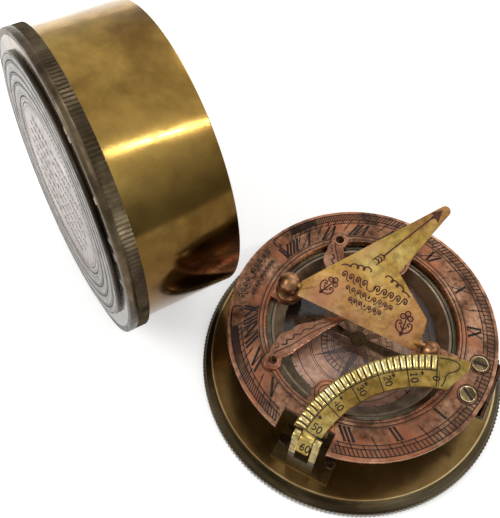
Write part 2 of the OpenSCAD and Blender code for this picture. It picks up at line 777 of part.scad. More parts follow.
// The stepped medallion is dished on the inside, which makes room for the gnomon's balls
module lid_medallion() {
    groove_places = [2.7, 6.4, 9.6];
    step_in = 13.2;
    step_h = 0.3;
    groove_w = 0.5;
    groove_d = 0.3;
    dish_r = medallion_r - medallion_lap;
    color([0.78, 0.72, 0.66]) on_lid() difference() {
        rotate_extrude($fn = 180) polygon([
            [0, -medallion_h + medallion_t], [dish_r, -medallion_h + medallion_t],
            [dish_r, 0], [medallion_r, 0], [medallion_r, -medallion_h + 0.3],
            [medallion_r - 0.3, -medallion_h], [medallion_r - step_in, -medallion_h],
            [medallion_r - step_in - 0.4, -medallion_h + step_h],
            [0, -medallion_h + step_h]
        ]);
        for (d = groove_places) rotate_extrude($fn = 180)
            translate([medallion_r - d - groove_w / 2, -medallion_h - cut])
                square([groove_w, groove_d + cut]);
    }
}

base_plate();
compass_drum();
compass_bowl();
compass_card();
pivot_post();
glass_seat();
compass_glass();
bezel_ring();
compass_needle();
needle_cap();
hinge_leaf_fixed();
plate_hinge_pin();
hinge_leaf_moving();
hinge_screws();
hour_plate();
midnight_post();
noon_post();
gnomon();
scroll_arm_am();
scroll_arm_pm();
arm_rivets();
arc_bracket();
bracket_screws();
arc_pin();
latitude_arc();
lid_shell();
lid_rim();
lid_medallion();
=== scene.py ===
import math

import bmesh
import bpy
from mathutils import Matrix, Vector

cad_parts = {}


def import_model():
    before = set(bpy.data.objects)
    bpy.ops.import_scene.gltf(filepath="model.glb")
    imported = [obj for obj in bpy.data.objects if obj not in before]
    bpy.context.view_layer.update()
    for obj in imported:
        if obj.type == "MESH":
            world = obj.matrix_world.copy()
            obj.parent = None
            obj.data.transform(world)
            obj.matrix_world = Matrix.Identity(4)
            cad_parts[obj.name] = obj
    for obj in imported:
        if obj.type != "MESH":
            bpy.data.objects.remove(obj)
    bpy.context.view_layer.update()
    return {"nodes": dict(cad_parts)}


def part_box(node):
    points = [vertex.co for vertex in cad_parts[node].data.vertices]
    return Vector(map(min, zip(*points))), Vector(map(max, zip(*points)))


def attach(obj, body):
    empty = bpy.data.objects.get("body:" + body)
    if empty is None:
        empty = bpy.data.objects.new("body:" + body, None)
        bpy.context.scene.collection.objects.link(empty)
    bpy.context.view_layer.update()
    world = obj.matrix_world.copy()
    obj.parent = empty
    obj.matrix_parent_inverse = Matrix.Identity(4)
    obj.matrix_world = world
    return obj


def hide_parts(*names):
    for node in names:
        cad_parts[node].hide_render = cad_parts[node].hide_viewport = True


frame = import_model()
nodes = frame["nodes"]
MM = 0.001

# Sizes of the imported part, in millimetres, as its source has them
PLATE_TOP = 31.3
NOTCH_X = (-9.0, 7.2)
NOTCH_Y = -34.2
ARM_T = 1.0
CARD_TOP = 17.0
AXIS_Z = 37.3
GNOMON_T = 1.4
GNOMON_LEAN = math.radians(38)
FOLD_Y, FOLD_Z = -40.0, 32.2
ARC_REST = math.radians(12)
ARC_TOP = 1.0
ARC_CENTRE = (38.0, -2.6)
LID_MOUTH = Vector((-81.03, 20.44, 47.898))
LID_L = 36.7
LID_TURN = math.radians(58.25)
LID_DIP = math.radians(3.7275)
LID_AXIS = Vector((math.cos(LID_TURN) * math.cos(LID_DIP), math.sin(LID_TURN) * math.cos(LID_DIP),
                   -math.sin(LID_DIP)))
LID_FACE_H = -1.4
LID_DISC_RISE = 0.3
SCREW_AT = (36.1, 5.3)
ARM_FOOT_AT = (-18.7, 23.7)
SIDE_LUG_Y = 24.7

# What a metal is turned about, or coloured by its distance from: an upright axis or the lid's
BASE = (0, 0)
LID = "lid"


def linear(r, g, b):
    """A colour as the eye reads it, from 0 to 255, as linear light."""
    return tuple(
        (c / 255 / 12.92) if c / 255 <= 0.04045 else ((c / 255 + 0.055) / 1.055) ** 2.4
        for c in (r, g, b)
    )


def grey(v):
    return (v, v, v)


def placed(name, data):
    """A new object in the scene."""
    ob = bpy.data.objects.new(name, data)
    bpy.context.scene.collection.objects.link(ob)
    return ob


# Materials

class Nodes:
    """Short names for making and joining the shader nodes of a material or a world."""

    def __init__(self, owner):
        owner.use_nodes = True
        self.mat, self.tree = owner, owner.node_tree
        self.shader = self.tree.nodes.get("Principled BSDF")
        self.output = self.tree.nodes.get("Material Output")
        self.object_place = None

    def new(self, kind, **settings):
        node = self.tree.nodes.new("ShaderNode" + kind)
        for key, value in settings.items():
            if key in node.inputs.keys():
                node.inputs[key].default_value = value
            else:
                setattr(node, key, value)
        return node

    def join(self, out, target):
        self.tree.links.new(out, target)

    def feed(self, socket, value):
        """Joins a socket to the given one, or sets it to a number or a colour."""
        if isinstance(value, bpy.types.NodeSocket):
            self.join(value, socket)
        elif isinstance(value, (int, float)):
            socket.default_value = value
        else:
            socket.default_value = (*value, 1.0)

    def shade(self, key, value):
        """Sets or joins an input of a material's main shader."""
        self.feed(self.shader.inputs[key], value)

    def math(self, operation, a, b):
        node = self.new("Math", operation=operation)
        self.feed(node.inputs[0], a)
        self.feed(node.inputs[1], b)
        return node.outputs[0]

    def vector(self, operation, a, b):
        """Works on a vector socket and a fixed vector."""
        node = self.new("VectorMath", operation=operation)
        self.join(a, node.inputs[0])
        node.inputs[1].default_value = b
        return node

    def ramp(self, factor, stops):
        node = self.new("ValToRGB")
        elements = node.color_ramp.elements
        while len(elements) < len(stops):
            elements.new(0.5)
        for element, (place, colour) in zip(elements, stops):
            element.position = place
            element.color = (*colour, 1.0)
        self.join(factor, node.inputs["Fac"])
        return node.outputs["Color"]

    def remap(self, value, low, high, to_low=0.0, to_high=1.0):
        node = self.new("MapRange")
        self.join(value, node.inputs["Value"])
        for key, bound in (("From Min", low), ("From Max", high), ("To Min", to_low),
                           ("To Max", to_high)):
            node.inputs[key].default_value = bound
        return node.outputs[0]

    def mix(self, factor, a, b, blend="MIX"):
        node = self.new("Mix", data_type="RGBA", blend_type=blend)
        for socket, value in ((0, factor), (6, a), (7, b)):
            self.feed(node.inputs[socket], value)
        return node.outputs[2]

    def noise(self, scale, detail, vector=None, roughness=0.55, distortion=0.0):
        node = self.new("TexNoise", Scale=scale, Detail=detail, Roughness=roughness,
                        Distortion=distortion)
        self.join(self.place() if vector is None else vector, node.inputs["Vector"])
        return node.outputs["Fac"]

    def place(self):
        if self.object_place is None:
            self.object_place = self.new("TexCoord").outputs["Object"]
        return self.object_place

    def seen_from(self, point):
        """The way from a point, in metres, to the place that is shaded."""
        return self.vector("SUBTRACT", self.place(), point).outputs[0]

    def radius(self, axis):
        """Distance from an axis, along X of a vector."""
        if axis == LID:
            across = self.vector("CROSS_PRODUCT", self.seen_from(LID_MOUTH * MM), LID_AXIS)
        else:
            x, y = axis
            across = self.vector("MULTIPLY", self.seen_from((x * MM, y * MM, 0)), (1, 1, 0))
        far = self.new("VectorMath", operation="LENGTH")
        self.join(across.outputs[0], far.inputs[0])
        ring = self.new("CombineXYZ")
        self.join(far.outputs["Value"], ring.inputs["X"])
        return ring.outputs[0]


def metal(name, base, dark, light, rough, patch, grime, turned=None, scratch=0.35, pits=0.0,
          warm=None, metallic=1.0):
    """An aged metal: clouded colour, darker grime, fine scratches or turning lines, and pits.

    Colours are as the eye reads them. rough has the roughness of clean and of soiled places,
    patch sets how fine the clouds are, and warm is the colour of faint patches over them.
    """
    m = Nodes(bpy.data.materials.new(name))
    cloud = m.noise(patch, 5.0, roughness=0.6, distortion=0.4)
    mottle = m.noise(patch * 6, 4.0)
    colour = m.ramp(cloud, [(0.30, linear(*dark)), (0.50, linear(*base)), (0.68, linear(*light))])
    speck = m.ramp(mottle, [(0.35, grey(0.0)), (0.62, grey(1.0))])
    colour = m.mix(1.0, colour, m.mix(grime, grey(1.0), speck), "MULTIPLY")
    if warm is not None:
        drift = m.ramp(m.noise(patch * 0.6, 2.0), [(0.48, grey(0.0)), (0.62, grey(1.0))])
        colour = m.mix(m.math("MULTIPLY", drift, 0.55), colour, linear(*warm))
    if turned is None:
        stretch = m.new("Mapping", Scale=(1.0, 0.12, 0.35), Rotation=(0.2, 0.1, 0.7))
        m.join(m.place(), stretch.inputs["Vector"])
        lines, share = m.noise(2200, 3.0, stretch.outputs[0]), 0.6
    else:
        lines, share = m.noise(2600, 2.0, m.radius(turned)), 0.8
    relief = m.math("ADD", m.math("MULTIPLY", lines, share),
                    m.math("MULTIPLY", m.noise(1400, 2.0), 1 - share))
    if pits:
        spots = m.ramp(m.noise(420, 2.0), [(0.0, grey(0.0)), (0.28, grey(1.0))])
        relief = m.math("ADD", relief, m.math("MULTIPLY", spots, pits))
    bump = m.new("Bump", Strength=scratch, Distance=0.00003)
    m.join(relief, bump.inputs["Height"])
    m.shade("Base Color", colour)
    m.shade("Roughness", m.remap(mottle, 0.3, 0.7, rough[1], rough[0]))
    m.shade("Normal", bump.outputs[0])
    m.shade("Metallic", metallic)
    return m


def tint(m, place, stops):
    """Multiplies a metal's colour by a ramp over a length in millimetres, given as a socket.

    Each stop has a length and a colour, or a number that stands for a grey.
    """
    first, last = stops[0][0], stops[-1][0]
    ramp = m.ramp(m.remap(place, first * MM, last * MM),
                  [((z - first) / (last - first), grey(c) if isinstance(c, float) else c)
                   for z, c in stops])
    old = m.shader.inputs["Base Color"].links[0].from_socket
    m.shade("Base Color", m.mix(1.0, old, ramp, "MULTIPLY"))
    return m


def by_height(m, stops, wander=0.0):
    """A tint over the height, whose bounds may wander by some millimetres."""
    parts = m.new("SeparateXYZ")
    m.join(m.place(), parts.inputs[0])
    height = parts.outputs["Z"]
    if wander:
        drift = m.math("MULTIPLY", m.math("SUBTRACT", m.noise(38, 3.0), 0.5), wander * MM)
        height = m.math("ADD", height, drift)
    return tint(m, height, stops)


def along_lid(m, stops):
    """A tint over the distance from the lid's mouth, along its axis."""
    far = m.vector("DOT_PRODUCT", m.seen_from(LID_MOUTH * MM), LID_AXIS)
    return tint(m, far.outputs["Value"], stops)


def by_radius(m, axis, stops):
    """A tint over the distance from an axis."""
    parts = m.new("SeparateXYZ")
    m.join(m.radius(axis), parts.inputs[0])
    return tint(m, parts.outputs["X"], stops)


def ink(name, colour=(26, 18, 15)):
    """Dark wax or tarnish that fills engraved lines, also laid as painted shade in screw slots, round
    screw heads and in turned steps.
    """
    m = Nodes(bpy.data.materials.new(name))
    dark, pale = (tuple(c * k for c in linear(*colour)) for k in (0.6, 1.5))
    m.shade("Base Color", m.ramp(m.noise(900, 3.0), [(0.3, dark), (0.7, pale)]))
    m.shade("Metallic", 0.4)
    m.shade("Roughness", 0.6)
    return m.mat


def glass():
    """Clear glass with a faint smear, which lets light through to what lies below."""
    m = Nodes(bpy.data.materials.new("glass_clear"))
    m.shade("Transmission Weight", 1.0)
    m.shade("IOR", 1.45)
    haze = m.noise(120, 3.0)
    m.shade("Roughness", m.remap(haze, 0.0, 1.0, 0.0, 0.06))
    m.shade("Base Color", m.ramp(haze, [(0.3, (0.93, 0.96, 0.97)), (0.7, (0.98, 0.99, 1.0))]))
    clear = m.new("BsdfTransparent")
    choose = m.new("MixShader")
    m.join(m.new("LightPath").outputs["Is Shadow Ray"], choose.inputs[0])
    m.join(m.shader.outputs[0], choose.inputs[1])
    m.join(clear.outputs[0], choose.inputs[2])
    m.join(choose.outputs[0], m.output.inputs["Surface"])
    return m.mat


COPPER = ((166, 118, 90), (94, 64, 50), (214, 164, 132))
YELLOW = ((186, 152, 78), (136, 102, 48), (222, 196, 118))
OLIVE = ((138, 114, 88), (86, 66, 48), (170, 146, 118))
SLATE = ((110, 102, 84), (72, 66, 52), (140, 130, 110))

# Base: milled rim, shoulder and collar coloured darker and greyer under a clean deck, whose pale lip is
# a painted highlight
deck = by_height(
    metal("brass_deck", (140, 110, 58), (104, 78, 36), (168, 138, 80),
          rough=(0.14, 0.24), patch=38, grime=0.15, turned=BASE, scratch=0.12, metallic=0.9),
    # Darker and greyer below the deck, with a painted bright line at 3.2 mm and a painted dark line
    # just above it
    [(0.0, (0.24, 0.3, 0.54)), (3.0, (0.34, 0.42, 0.76)), (3.2, (0.5, 0.6, 1.1)),
     (3.5, (0.14, 0.17, 0.3)), (4.0, (0.36, 0.45, 0.85)), (7.2, (0.44, 0.54, 1.0)),
     (7.4, (0.8, 0.77, 0.84)), (7.8, (0.8, 0.77, 0.84)), (8.2, (0.85, 0.85, 0.95))])
# Painted highlight: a thin bright line round the collar's top edge
by_radius(deck, BASE, [(46.4, 1.0), (46.5, (3.0, 3.6, 5.6)), (46.75, (3.0, 3.6, 5.6)),
                       (46.85, 1.0), (50.0, 1.0)])

# Compass: the card carries a painted dark reflection on its far side and a painted highlight near its
# middle
drum = metal("brass_drum", *SLATE, rough=(0.16, 0.3), patch=45, grime=0.3, turned=BASE,
             scratch=0.2)
bowl = metal("brass_bowl", *OLIVE, rough=(0.2, 0.36), patch=60, grime=0.4, turned=BASE)
bezel = metal("brass_bezel", (150, 130, 110), (100, 84, 66), (186, 166, 142),
              rough=(0.3, 0.45), patch=60, grime=0.35, turned=BASE)
card = metal("copper_card", (206, 156, 128), (150, 104, 84), (232, 192, 166),
             rough=(0.3, 0.5), patch=90, grime=0.3, metallic=0.75)
# Painted dark reflection over the card's far side
by_radius(card, (-60, 10), [(30.0, 0.1), (44.0, 0.12), (49.0, 0.4), (53.0, 1.0), (90.0, 0.85)])
# Painted highlight near the card's middle, with painted shade round it
by_radius(card, (-9.5, -14), [(0.0, 1.5), (4.5, 1.4), (7.0, 0.85), (13.0, 0.5), (22.0, 0.75),
                              (40.0, 0.7)])

# Hour ring with its grooves, and what is fixed to it
# Painted highlights along the ring's inner and outer edges, painted shade beside the two grooves, and
# darker across the scale
copper = by_radius(
    metal("copper_plate", *COPPER, rough=(0.2, 0.38), patch=110, grime=0.62, pits=0.5,
          warm=(194, 122, 88)),
    BASE,
    [(29.0, 1.25), (30.2, 1.15), (30.7, 0.7), (31.3, 1.1), (31.8, 0.6), (32.6, 0.95),
     (36.4, 1.0), (37.2, 0.8), (40.2, 0.8), (40.7, 1.15), (42.0, 1.4)])
copper_bright = metal("copper_bright", (176, 122, 96), (122, 80, 62),
                      (206, 154, 126), rough=(0.18, 0.32), patch=110, grime=0.4)
hinge_metal = metal("copper_hinge", (92, 66, 50), (56, 40, 30),
                    (128, 94, 72), rough=(0.24, 0.4), patch=80, grime=0.4)

# Gnomon, latitude arc and bracket, whose foot is painted near-black as shade up to the prongs
# Painted light as a lighter band across the middle height; darker and browner towards the foot
gnomon_metal = by_height(
    metal("brass_gnomon", (226, 184, 102), (172, 124, 70), (246, 216, 140),
          rough=(0.2, 0.4), patch=85, grime=0.5, pits=0.6, warm=(206, 146, 112)),
    [(34.0, (0.8, 0.66, 0.85)), (39.0, (0.95, 0.8, 0.92)), (42.0, (1.15, 1.02, 1.05)),
     (47.0, (1.0, 1.0, 0.9)), (56.0, (0.92, 0.96, 0.85)), (60.0, (1.0, 0.88, 1.15))], wander=9.0)
# Painted shade on the arc's end by the hinge screws
arc_metal = by_radius(
    metal("brass_arc", *YELLOW, rough=(0.26, 0.42), patch=90, grime=0.5, pits=0.4),
    (31, -4), [(0.0, 0.72), (6.0, 0.76), (10.0, 1.0), (60.0, 1.0)])
# The ribs take a lighter copy of the arc's brass, a painted highlight on the raised band
rib_metal = metal("brass_ribs", (232, 208, 136), (190, 160, 88),
                  (250, 236, 178), rough=(0.2, 0.34), patch=120, grime=0.3)
# Painted shade: near-black from just above the foot up to the prongs
bracket_metal = by_height(
    metal("brass_bracket", (206, 182, 116), (160, 134, 76), (228, 210, 150),
          rough=(0.26, 0.42), patch=110, grime=0.4, metallic=0.85),
    [(7.0, 1.0), (8.35, 1.0), (8.45, (0.2, 0.16, 0.14)), (19.0, (0.12, 0.1, 0.09)),
     (21.6, (0.12, 0.1, 0.09)), (22.1, 0.8), (36.0, 0.9)])

# Ball knobs with a neck painted dark as shade, screws, needle and pins
# Painted shade on the neck and under the ball; the collar a little darker
knob = by_height(
    metal("copper_knob", (190, 138, 98), (120, 82, 56), (220, 174, 132),
          rough=(0.3, 0.46), patch=160, grime=0.55, pits=0.5),
    [(PLATE_TOP, 0.75), (PLATE_TOP + 0.4, 0.75), (PLATE_TOP + 0.6, 0.16), (PLATE_TOP + 1.9, 0.16),
     (PLATE_TOP + 3.1, 0.8), (40.0, 1.0)])
screw = metal("brass_screw", (112, 92, 66), (70, 56, 40), (150, 130, 96),
              rough=(0.2, 0.34), patch=160, grime=0.4)
screw_edge_highlight = metal("brass_screw_edge", (206, 186, 140), (150, 128, 86),
                   (236, 220, 180), rough=(0.16, 0.3), patch=160, grime=0.3)
dark_screw = metal("brass_screw_dark", (92, 76, 58), (50, 40, 30),
                   (130, 110, 86), rough=(0.2, 0.34), patch=160, grime=0.4)
needle_metal = metal("steel_blued", (20, 19, 21), (10, 9, 11), (44, 42, 46),
                     rough=(0.16, 0.3), patch=150, grime=0.3)
cap_metal = metal("brass_cap", (24, 20, 17), (10, 8, 7), (64, 54, 44),
                  rough=(0.14, 0.26), patch=160, grime=0.3, turned=BASE)
steel = metal("steel_pin", (84, 70, 56), (50, 40, 32), (122, 104, 84),
              rough=(0.2, 0.34), patch=160, grime=0.3)

# Lid: a polished wall with a painted dark reflection low down, a milled band, and a silvered face with
# steps
# Painted highlights and painted shade across the face's turned steps
STEP_SHINE = (0.72, 0.74, 0.68)
STEP_SHADE = 0.1
FACE_BACK = (0.6, 0.42, 0.2)
# Painted dark reflection low on the wall, lighter towards the top
lid_side = by_height(
    metal("brass_lid", (190, 152, 78), (140, 106, 52), (206, 172, 92),
          rough=(0.1, 0.2), patch=30, grime=0.24, turned=LID, scratch=0.1),
    [(10.0, (0.34, 0.29, 0.28)), (54.0, (0.34, 0.29, 0.28)), (64.0, (0.22, 0.19, 0.19)),
     (72.0, (0.26, 0.23, 0.23)), (80.0, (0.66, 0.62, 0.62)), (86.0, (1.0, 0.98, 1.0)),
     (100.0, (1.06, 1.06, 1.12))],
    wander=14.0)
along_lid(lid_side, [(-37.0, (0.5, 0.56, 0.95)), (-36.4, (0.5, 0.56, 0.95)),
                     (-35.9, 1.0), (0.0, 1.0)])
# The milled band darkens downwards as painted shade
lid_knurl = by_height(
    metal("brass_knurl", (112, 96, 74), (64, 54, 40), (150, 134, 108),
          rough=(0.3, 0.46), patch=50, grime=0.35),
    [(0.0, 0.3), (30.0, 0.42), (62.0, 0.8), (100.0, 0.8)])
# Painted shade at each step's edge and at the face's rim, painted highlights between
lid_face = by_radius(
    metal("silvered_face", (158, 146, 140), (132, 120, 113), (180, 168, 162),
          rough=(0.22, 0.36), patch=46, grime=0.15, turned=LID, scratch=0.3),
    LID,
    [(29.0, 1.0), (30.1, 1.0), (30.3, STEP_SHADE), (32.2, STEP_SHINE), (33.8, STEP_SHADE),
     (35.6, STEP_SHINE), (37.0, STEP_SHADE), (39.2, STEP_SHINE), (40.7, STEP_SHADE),
     (42.6, STEP_SHINE), (43.5, (0.12, 0.12, 0.1))])
along_lid(lid_face, [(-38.2, 1.0), (-37.0, 1.0), (-36.6, FACE_BACK), (-30.0, FACE_BACK)])

# Inks, two of them also laid as painted shade in screw slots, round screw heads and in turned steps
line_ink_and_shade = ink("line_ink_and_shade")
brown_ink = ink("brown_ink", (74, 34, 26))
rose_ink = ink("rose_ink", (74, 44, 36))
soft_ink_and_shade = ink("soft_ink_and_shade", (84, 64, 56))

FINISH = {
    "base_plate": deck, "compass_drum": drum, "compass_bowl": bowl, "compass_card": card,
    "pivot_post": cap_metal, "glass_seat": bezel, "bezel_ring": bezel,
    "compass_needle": needle_metal, "needle_cap": cap_metal, "hinge_leaf_fixed": hinge_metal,
    "plate_hinge_pin": steel, "hinge_leaf_moving": hinge_metal, "hinge_screws": screw,
    "hour_plate": copper, "midnight_post": knob, "noon_post": knob, "gnomon": gnomon_metal,
    "scroll_arm_am": copper_bright, "scroll_arm_pm": copper_bright, "arm_rivets": copper,
    "arc_bracket": bracket_metal, "bracket_screws": dark_screw, "arc_pin": steel,
    "latitude_arc": arc_metal, "lid_shell": lid_side, "lid_rim": lid_knurl,
    "lid_medallion": lid_face,
}


def set_material(node_name, material):
    slots = nodes[node_name].data.materials
    slots.clear()
    slots.append(material)


for node_name, finish in FINISH.items():
    set_material(node_name, finish.mat)
set_material("compass_glass", glass())


def soften(node_name, width):
    """Rounds the sharp edges of a CAD node for the eye only."""
    modifiers = nodes[node_name].modifiers
    modifiers.new("weld", "WELD").merge_threshold = 0.000002
    bevel = modifiers.new("bevel", "BEVEL")
    bevel.width = width * MM
    bevel.segments = 2
    bevel.limit_method = "ANGLE"
    bevel.angle_limit = math.radians(35)


for node_name, width in (("gnomon", 0.22), ("latitude_arc", 0.2), ("arc_bracket", 0.14),
                         ("hour_plate", 0.16), ("scroll_arm_am", 0.2), ("scroll_arm_pm", 0.2),
                         ("bracket_screws", 0.14), ("lid_shell", 0.12),
                         ("lid_medallion", 0.15)):
    soften(node_name, width)


# Drawing planes: each turns a place in millimetres and a height above the metal into metres

def on_plate(x, y, h):
    return Vector((x, y, PLATE_TOP + h)) * MM


def on_arm(x, y, h):
    return Vector((x, y, PLATE_TOP + ARM_T + h)) * MM


def on_card(x, y, h):
    return Vector((x, y, CARD_TOP + h)) * MM


def on_gnomon(u, v, h):
    c, s = math.cos(GNOMON_LEAN), math.sin(GNOMON_LEAN)
    t = GNOMON_T / 2 + h
    return Vector((u, v * c - t * s, AXIS_Z + v * s + t * c)) * MM


def on_arc(u, v, h):
    c, s = math.cos(ARC_REST), math.sin(ARC_REST)
    t = ARC_TOP + h
    return Vector((u, FOLD_Y + v * c - t * s, FOLD_Z + v * s + t * c)) * MM


LID_TURNED = Matrix.Rotation(LID_TURN, 3, "Z") @ Matrix.Rotation(math.pi / 2 + LID_DIP, 3, "Y")


def in_lid(x, y, z):
    return (LID_MOUTH + LID_TURNED @ Vector((x, y, z - LID_L))) * MM


def on_lid_disc(x, y, h):
    return in_lid(-y, -x, LID_FACE_H + LID_DISC_RISE - h)


def on_lid_face(x, y, h):
    return in_lid(-y, -x, LID_FACE_H - h)


def polar(r, angle):
    return r * math.cos(angle), r * math.sin(angle)


def smooth(points, steps=4):
    """A soft curve through the given points."""
    out, last = [], len(points) - 1
    for i in range(last):
        a, b, c, d = (Vector(points[min(max(i + k, 0), last)]) for k in (-1, 0, 1, 2))
        for k in range(steps):
            t = k / steps
            q = 0.5 * (2 * b + (c - a) * t + (2 * a - 5 * b + 4 * c - d) * t * t
                       + (3 * b - a - 3 * c + d) * t ** 3)
            out.append((q.x, q.y))
    return out + [tuple(points[-1])]


class Marks:
    """Thin closed shapes on one drawing plane, which become one piece."""

    def __init__(self, place, top=0.02, bottom=-0.04):
        self.place, self.top, self.bottom = place, top, bottom
        self.verts, self.faces = [], []

    def shape(self, points):
        n, b = len(points), len(self.verts)
        for h in (self.bottom, self.top):
            self.verts += [self.place(x, y, h) for x, y in points]
        self.faces.append(tuple(b + n + i for i in range(n)))
        self.faces.append(tuple(b + i for i in reversed(range(n))))
        self.faces += [(b + i, b + (i + 1) % n, b + n + (i + 1) % n, b + n + i) for i in range(n)]

    def stroke(self, points, width, end_width=None, closed=False):
        """A ribbon along a line, whose width may run from width to end_width."""
        count = len(points)
        end_width = width if end_width is None else end_width
        b = len(self.verts)
        for i, p in enumerate(points):
            p = Vector(p)
            prev = Vector(points[i - 1]) if i or closed else None
            nxt = Vector(points[(i + 1) % count]) if i < count - 1 or closed else None
            d = ((nxt or p) - (prev or p)).normalized()
            w = (width + (end_width - width) * i / max(count - 1, 1)) / 2
            side = Vector((-d.y, d.x)) * w
            for h in (self.bottom, self.top):
                for s in (-1, 1):
                    q = p + side * s
                    self.verts.append(self.place(q.x, q.y, h))
        spans = count if closed else count - 1
        for i in range(spans):
            a, c = b + 4 * i, b + 4 * ((i + 1) % count)
            self.faces += [(a, c, c + 1, a + 1), (a + 2, a + 3, c + 3, c + 2),
                           (a, a + 2, c + 2, c), (a + 1, c + 1, c + 3, a + 3)]
        if not closed:
            z = b + 4 * (count - 1)
            self.faces += [(b, b + 1, b + 3, b + 2), (z, z + 2, z + 3, z + 1)]

    def arc(self, centre, r, a0, a1, width, step=3.0):
        """Part of a circle, with its angles in degrees; a whole one where they are 360 apart."""
        whole = abs(a1 - a0) >= 359.9
        n = max(int(abs(a1 - a0) / step), 2)
        ways = [polar(r, math.radians(a0 + (a1 - a0) * i / n)) for i in range(n if whole else n + 1)]
        self.stroke([(centre[0] + x, centre[1] + y) for x, y in ways], width, closed=whole)

    def ring(self, r, width, centre=(0, 0), step=3.0):
        self.arc(centre, r, 0, 360, width, step)

    def dot(self, x, y, r, sides=10):
        ways = [polar(r, 2 * math.pi * i / sides) for i in range(sides)]
        self.shape([(x + dx, y + dy) for dx, dy in ways])

    def piece(self, name, body, material, slot):
        made(name, self.verts, self.faces, body, material, slot)


def made(name, verts, faces, body, material, slot, weld=False, smooth_face=lambda face: False):
    """A new piece, which rides on a body and has its material."""
    mesh = bpy.data.meshes.new(name)
    mesh.from_pydata([tuple(v) for v in verts], [], faces)
    bm = bmesh.new()
    bm.from_mesh(mesh)
    if weld:
        bmesh.ops.remove_doubles(bm, verts=bm.verts, dist=1e-7)
    bmesh.ops.recalc_face_normals(bm, faces=bm.faces)
    for face in bm.faces:
        face.smooth = smooth_face(face)
    bm.to_mesh(mesh)
    bm.free()
    ob = placed(name, mesh)
    ob.data.materials.append(material)
    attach(ob, body)
    return ob


def lathe(name, outline, body, material, slot, places, sides=48):
    """Turned forms in one piece: outline has (radius, height) pairs, and each place sets one."""
    verts, faces = [], []
    n = len(outline)
    for place in places:
        b = len(verts)
        for i in range(sides):
            a = 2 * math.pi * i / sides
            verts += [place(*polar(r, a), z) for r, z in outline]
        for i in range(sides):
            j = (i + 1) % sides
            faces += [(b + i * n + k, b + j * n + k, b + j * n + (k + 1) % n,
                       b + i * n + (k + 1) % n) for k in range(n)]
    return made(name, verts, faces, body, material, slot, weld=True, smooth_face=lambda face: True)


# Hour scale: hour lines run out from the foot of the gnomon's shadow edge

STYLE_FOOT = -23.0
RING_OUT, RING_MID, RING_IN = 40.3, 38.1, 36.95
HALF_HOUR_IN, HALF_HOUR_BAR = 34.3, 35.3
SCREW_ROOM = 3.0
NUMERAL_OUT, NUMERAL_IN = 36.3, 32.3


def hour_angle(hour, r):
    """Direction, in radians round the centre, at which the line of an hour meets a circle."""
    a = math.radians(15 * hour)
    b = STYLE_FOOT * math.cos(a)
    d = -b + math.sqrt(b * b - STYLE_FOOT ** 2 + r * r)
    return math.atan2(d * math.sin(a), STYLE_FOOT + d * math.cos(a))


def hour_point(hour, r, shift=0.0):
    return polar(r, hour_angle(hour, r) + shift / r)


def in_notch(x, y, margin=0.4):
    return NOTCH_X[0] - margin < x < NOTCH_X[1] + margin and y < NOTCH_Y + margin


def near(x, y, spot, room):
    """Whether a place is close to a spot or to its mirror image across X."""
    return any(math.hypot(x - spot[0], y - s * spot[1]) < room for s in (-1, 1))


def covered(x, y):
    return in_notch(x, y) or near(x, y, SCREW_AT, SCREW_ROOM)


def broken(marks, points, width, blocked=covered):
    """Strokes the stretches of a line that nothing covers."""
    run = []
    for p in list(points) + [None]:
        if p is None or blocked(*p):
            if len(run) > 1:
                marks.stroke(run, width)
            run = []
        else:
            run.append(p)


def hour_tick(marks, hour, r0, r1, width):
    broken(marks, [hour_point(hour, r0 + (r1 - r0) * k / 6) for k in range(7)], width)


def circle(r, half=180.0, step=1.5):
    """Places on a circle about the X axis, as far as half to each side, in degrees."""
    n = int(2 * half / step)
    return [polar(r, math.radians(-half + 2 * half * i / n)) for i in range(n + 1)]


LINE_END, TICK_END = 158.0, 151.0
HATCH_STEP = 0.55
scale = Marks(on_plate)
broken(scale, circle(RING_OUT, LINE_END), 0.3)
broken(scale, circle(RING_MID, TICK_END), 0.28)
broken(scale, circle(RING_IN, TICK_END), 0.3)
for i in range(-96, 97):
    hour = i / 12
    if abs(math.degrees(hour_angle(hour, RING_OUT))) > TICK_END:
        continue
    hour_tick(scale, hour, RING_MID, RING_OUT, 0.34)
    if i % 3 == 0:
        hour_tick(scale, hour, RING_IN, RING_MID, 0.32)
    if i % 12 == 6:
        hour_tick(scale, hour, HALF_HOUR_IN, RING_IN, 0.32)
        scale.stroke([hour_point(hour, HALF_HOUR_BAR, shift) for shift in (-0.5, 0.5)], 0.2)
    elif i % 12 == 0 and abs(hour) < 9:
        hour_tick(scale, hour, NUMERAL_OUT + 0.1, RING_IN, 0.24)
for s in (-1, 1):
    for k in range(26):
        a = math.radians(s * (TICK_END - HATCH_STEP * k))
        scale.stroke([polar(RING_MID, a), polar(RING_OUT, a)], 0.22)
scale.piece("plate_scale", "plate", line_ink_and_shade, "hour_plate")

# Hour figures: for each letter the room it takes, strokes with their widths, and serifs
GLYPHS = {
    "I": (1.3, [((0, 0), (0, 1), 0.74)], [(0, 0), (0, 1)]),
    "V": (2.55, [((-1.15, 1), (0, 0), 0.74), ((1.15, 1), (0.05, 0), 0.32)], [(-1.15, 1), (1.15, 1)]),
    "X": (2.45, [((-1.1, 1), (1.1, 0), 0.76), ((1.1, 1), (-1.1, 0), 0.32)],
          [(-1.1, 0), (1.1, 0), (-1.1, 1), (1.1, 1)]),
}
NUMERALS = {1: "I", 2: "II", 3: "III", 4: "IIII", 5: "V", 6: "VI", 7: "VII", 8: "VIII",
            9: "IX", 10: "X", 11: "XI"}


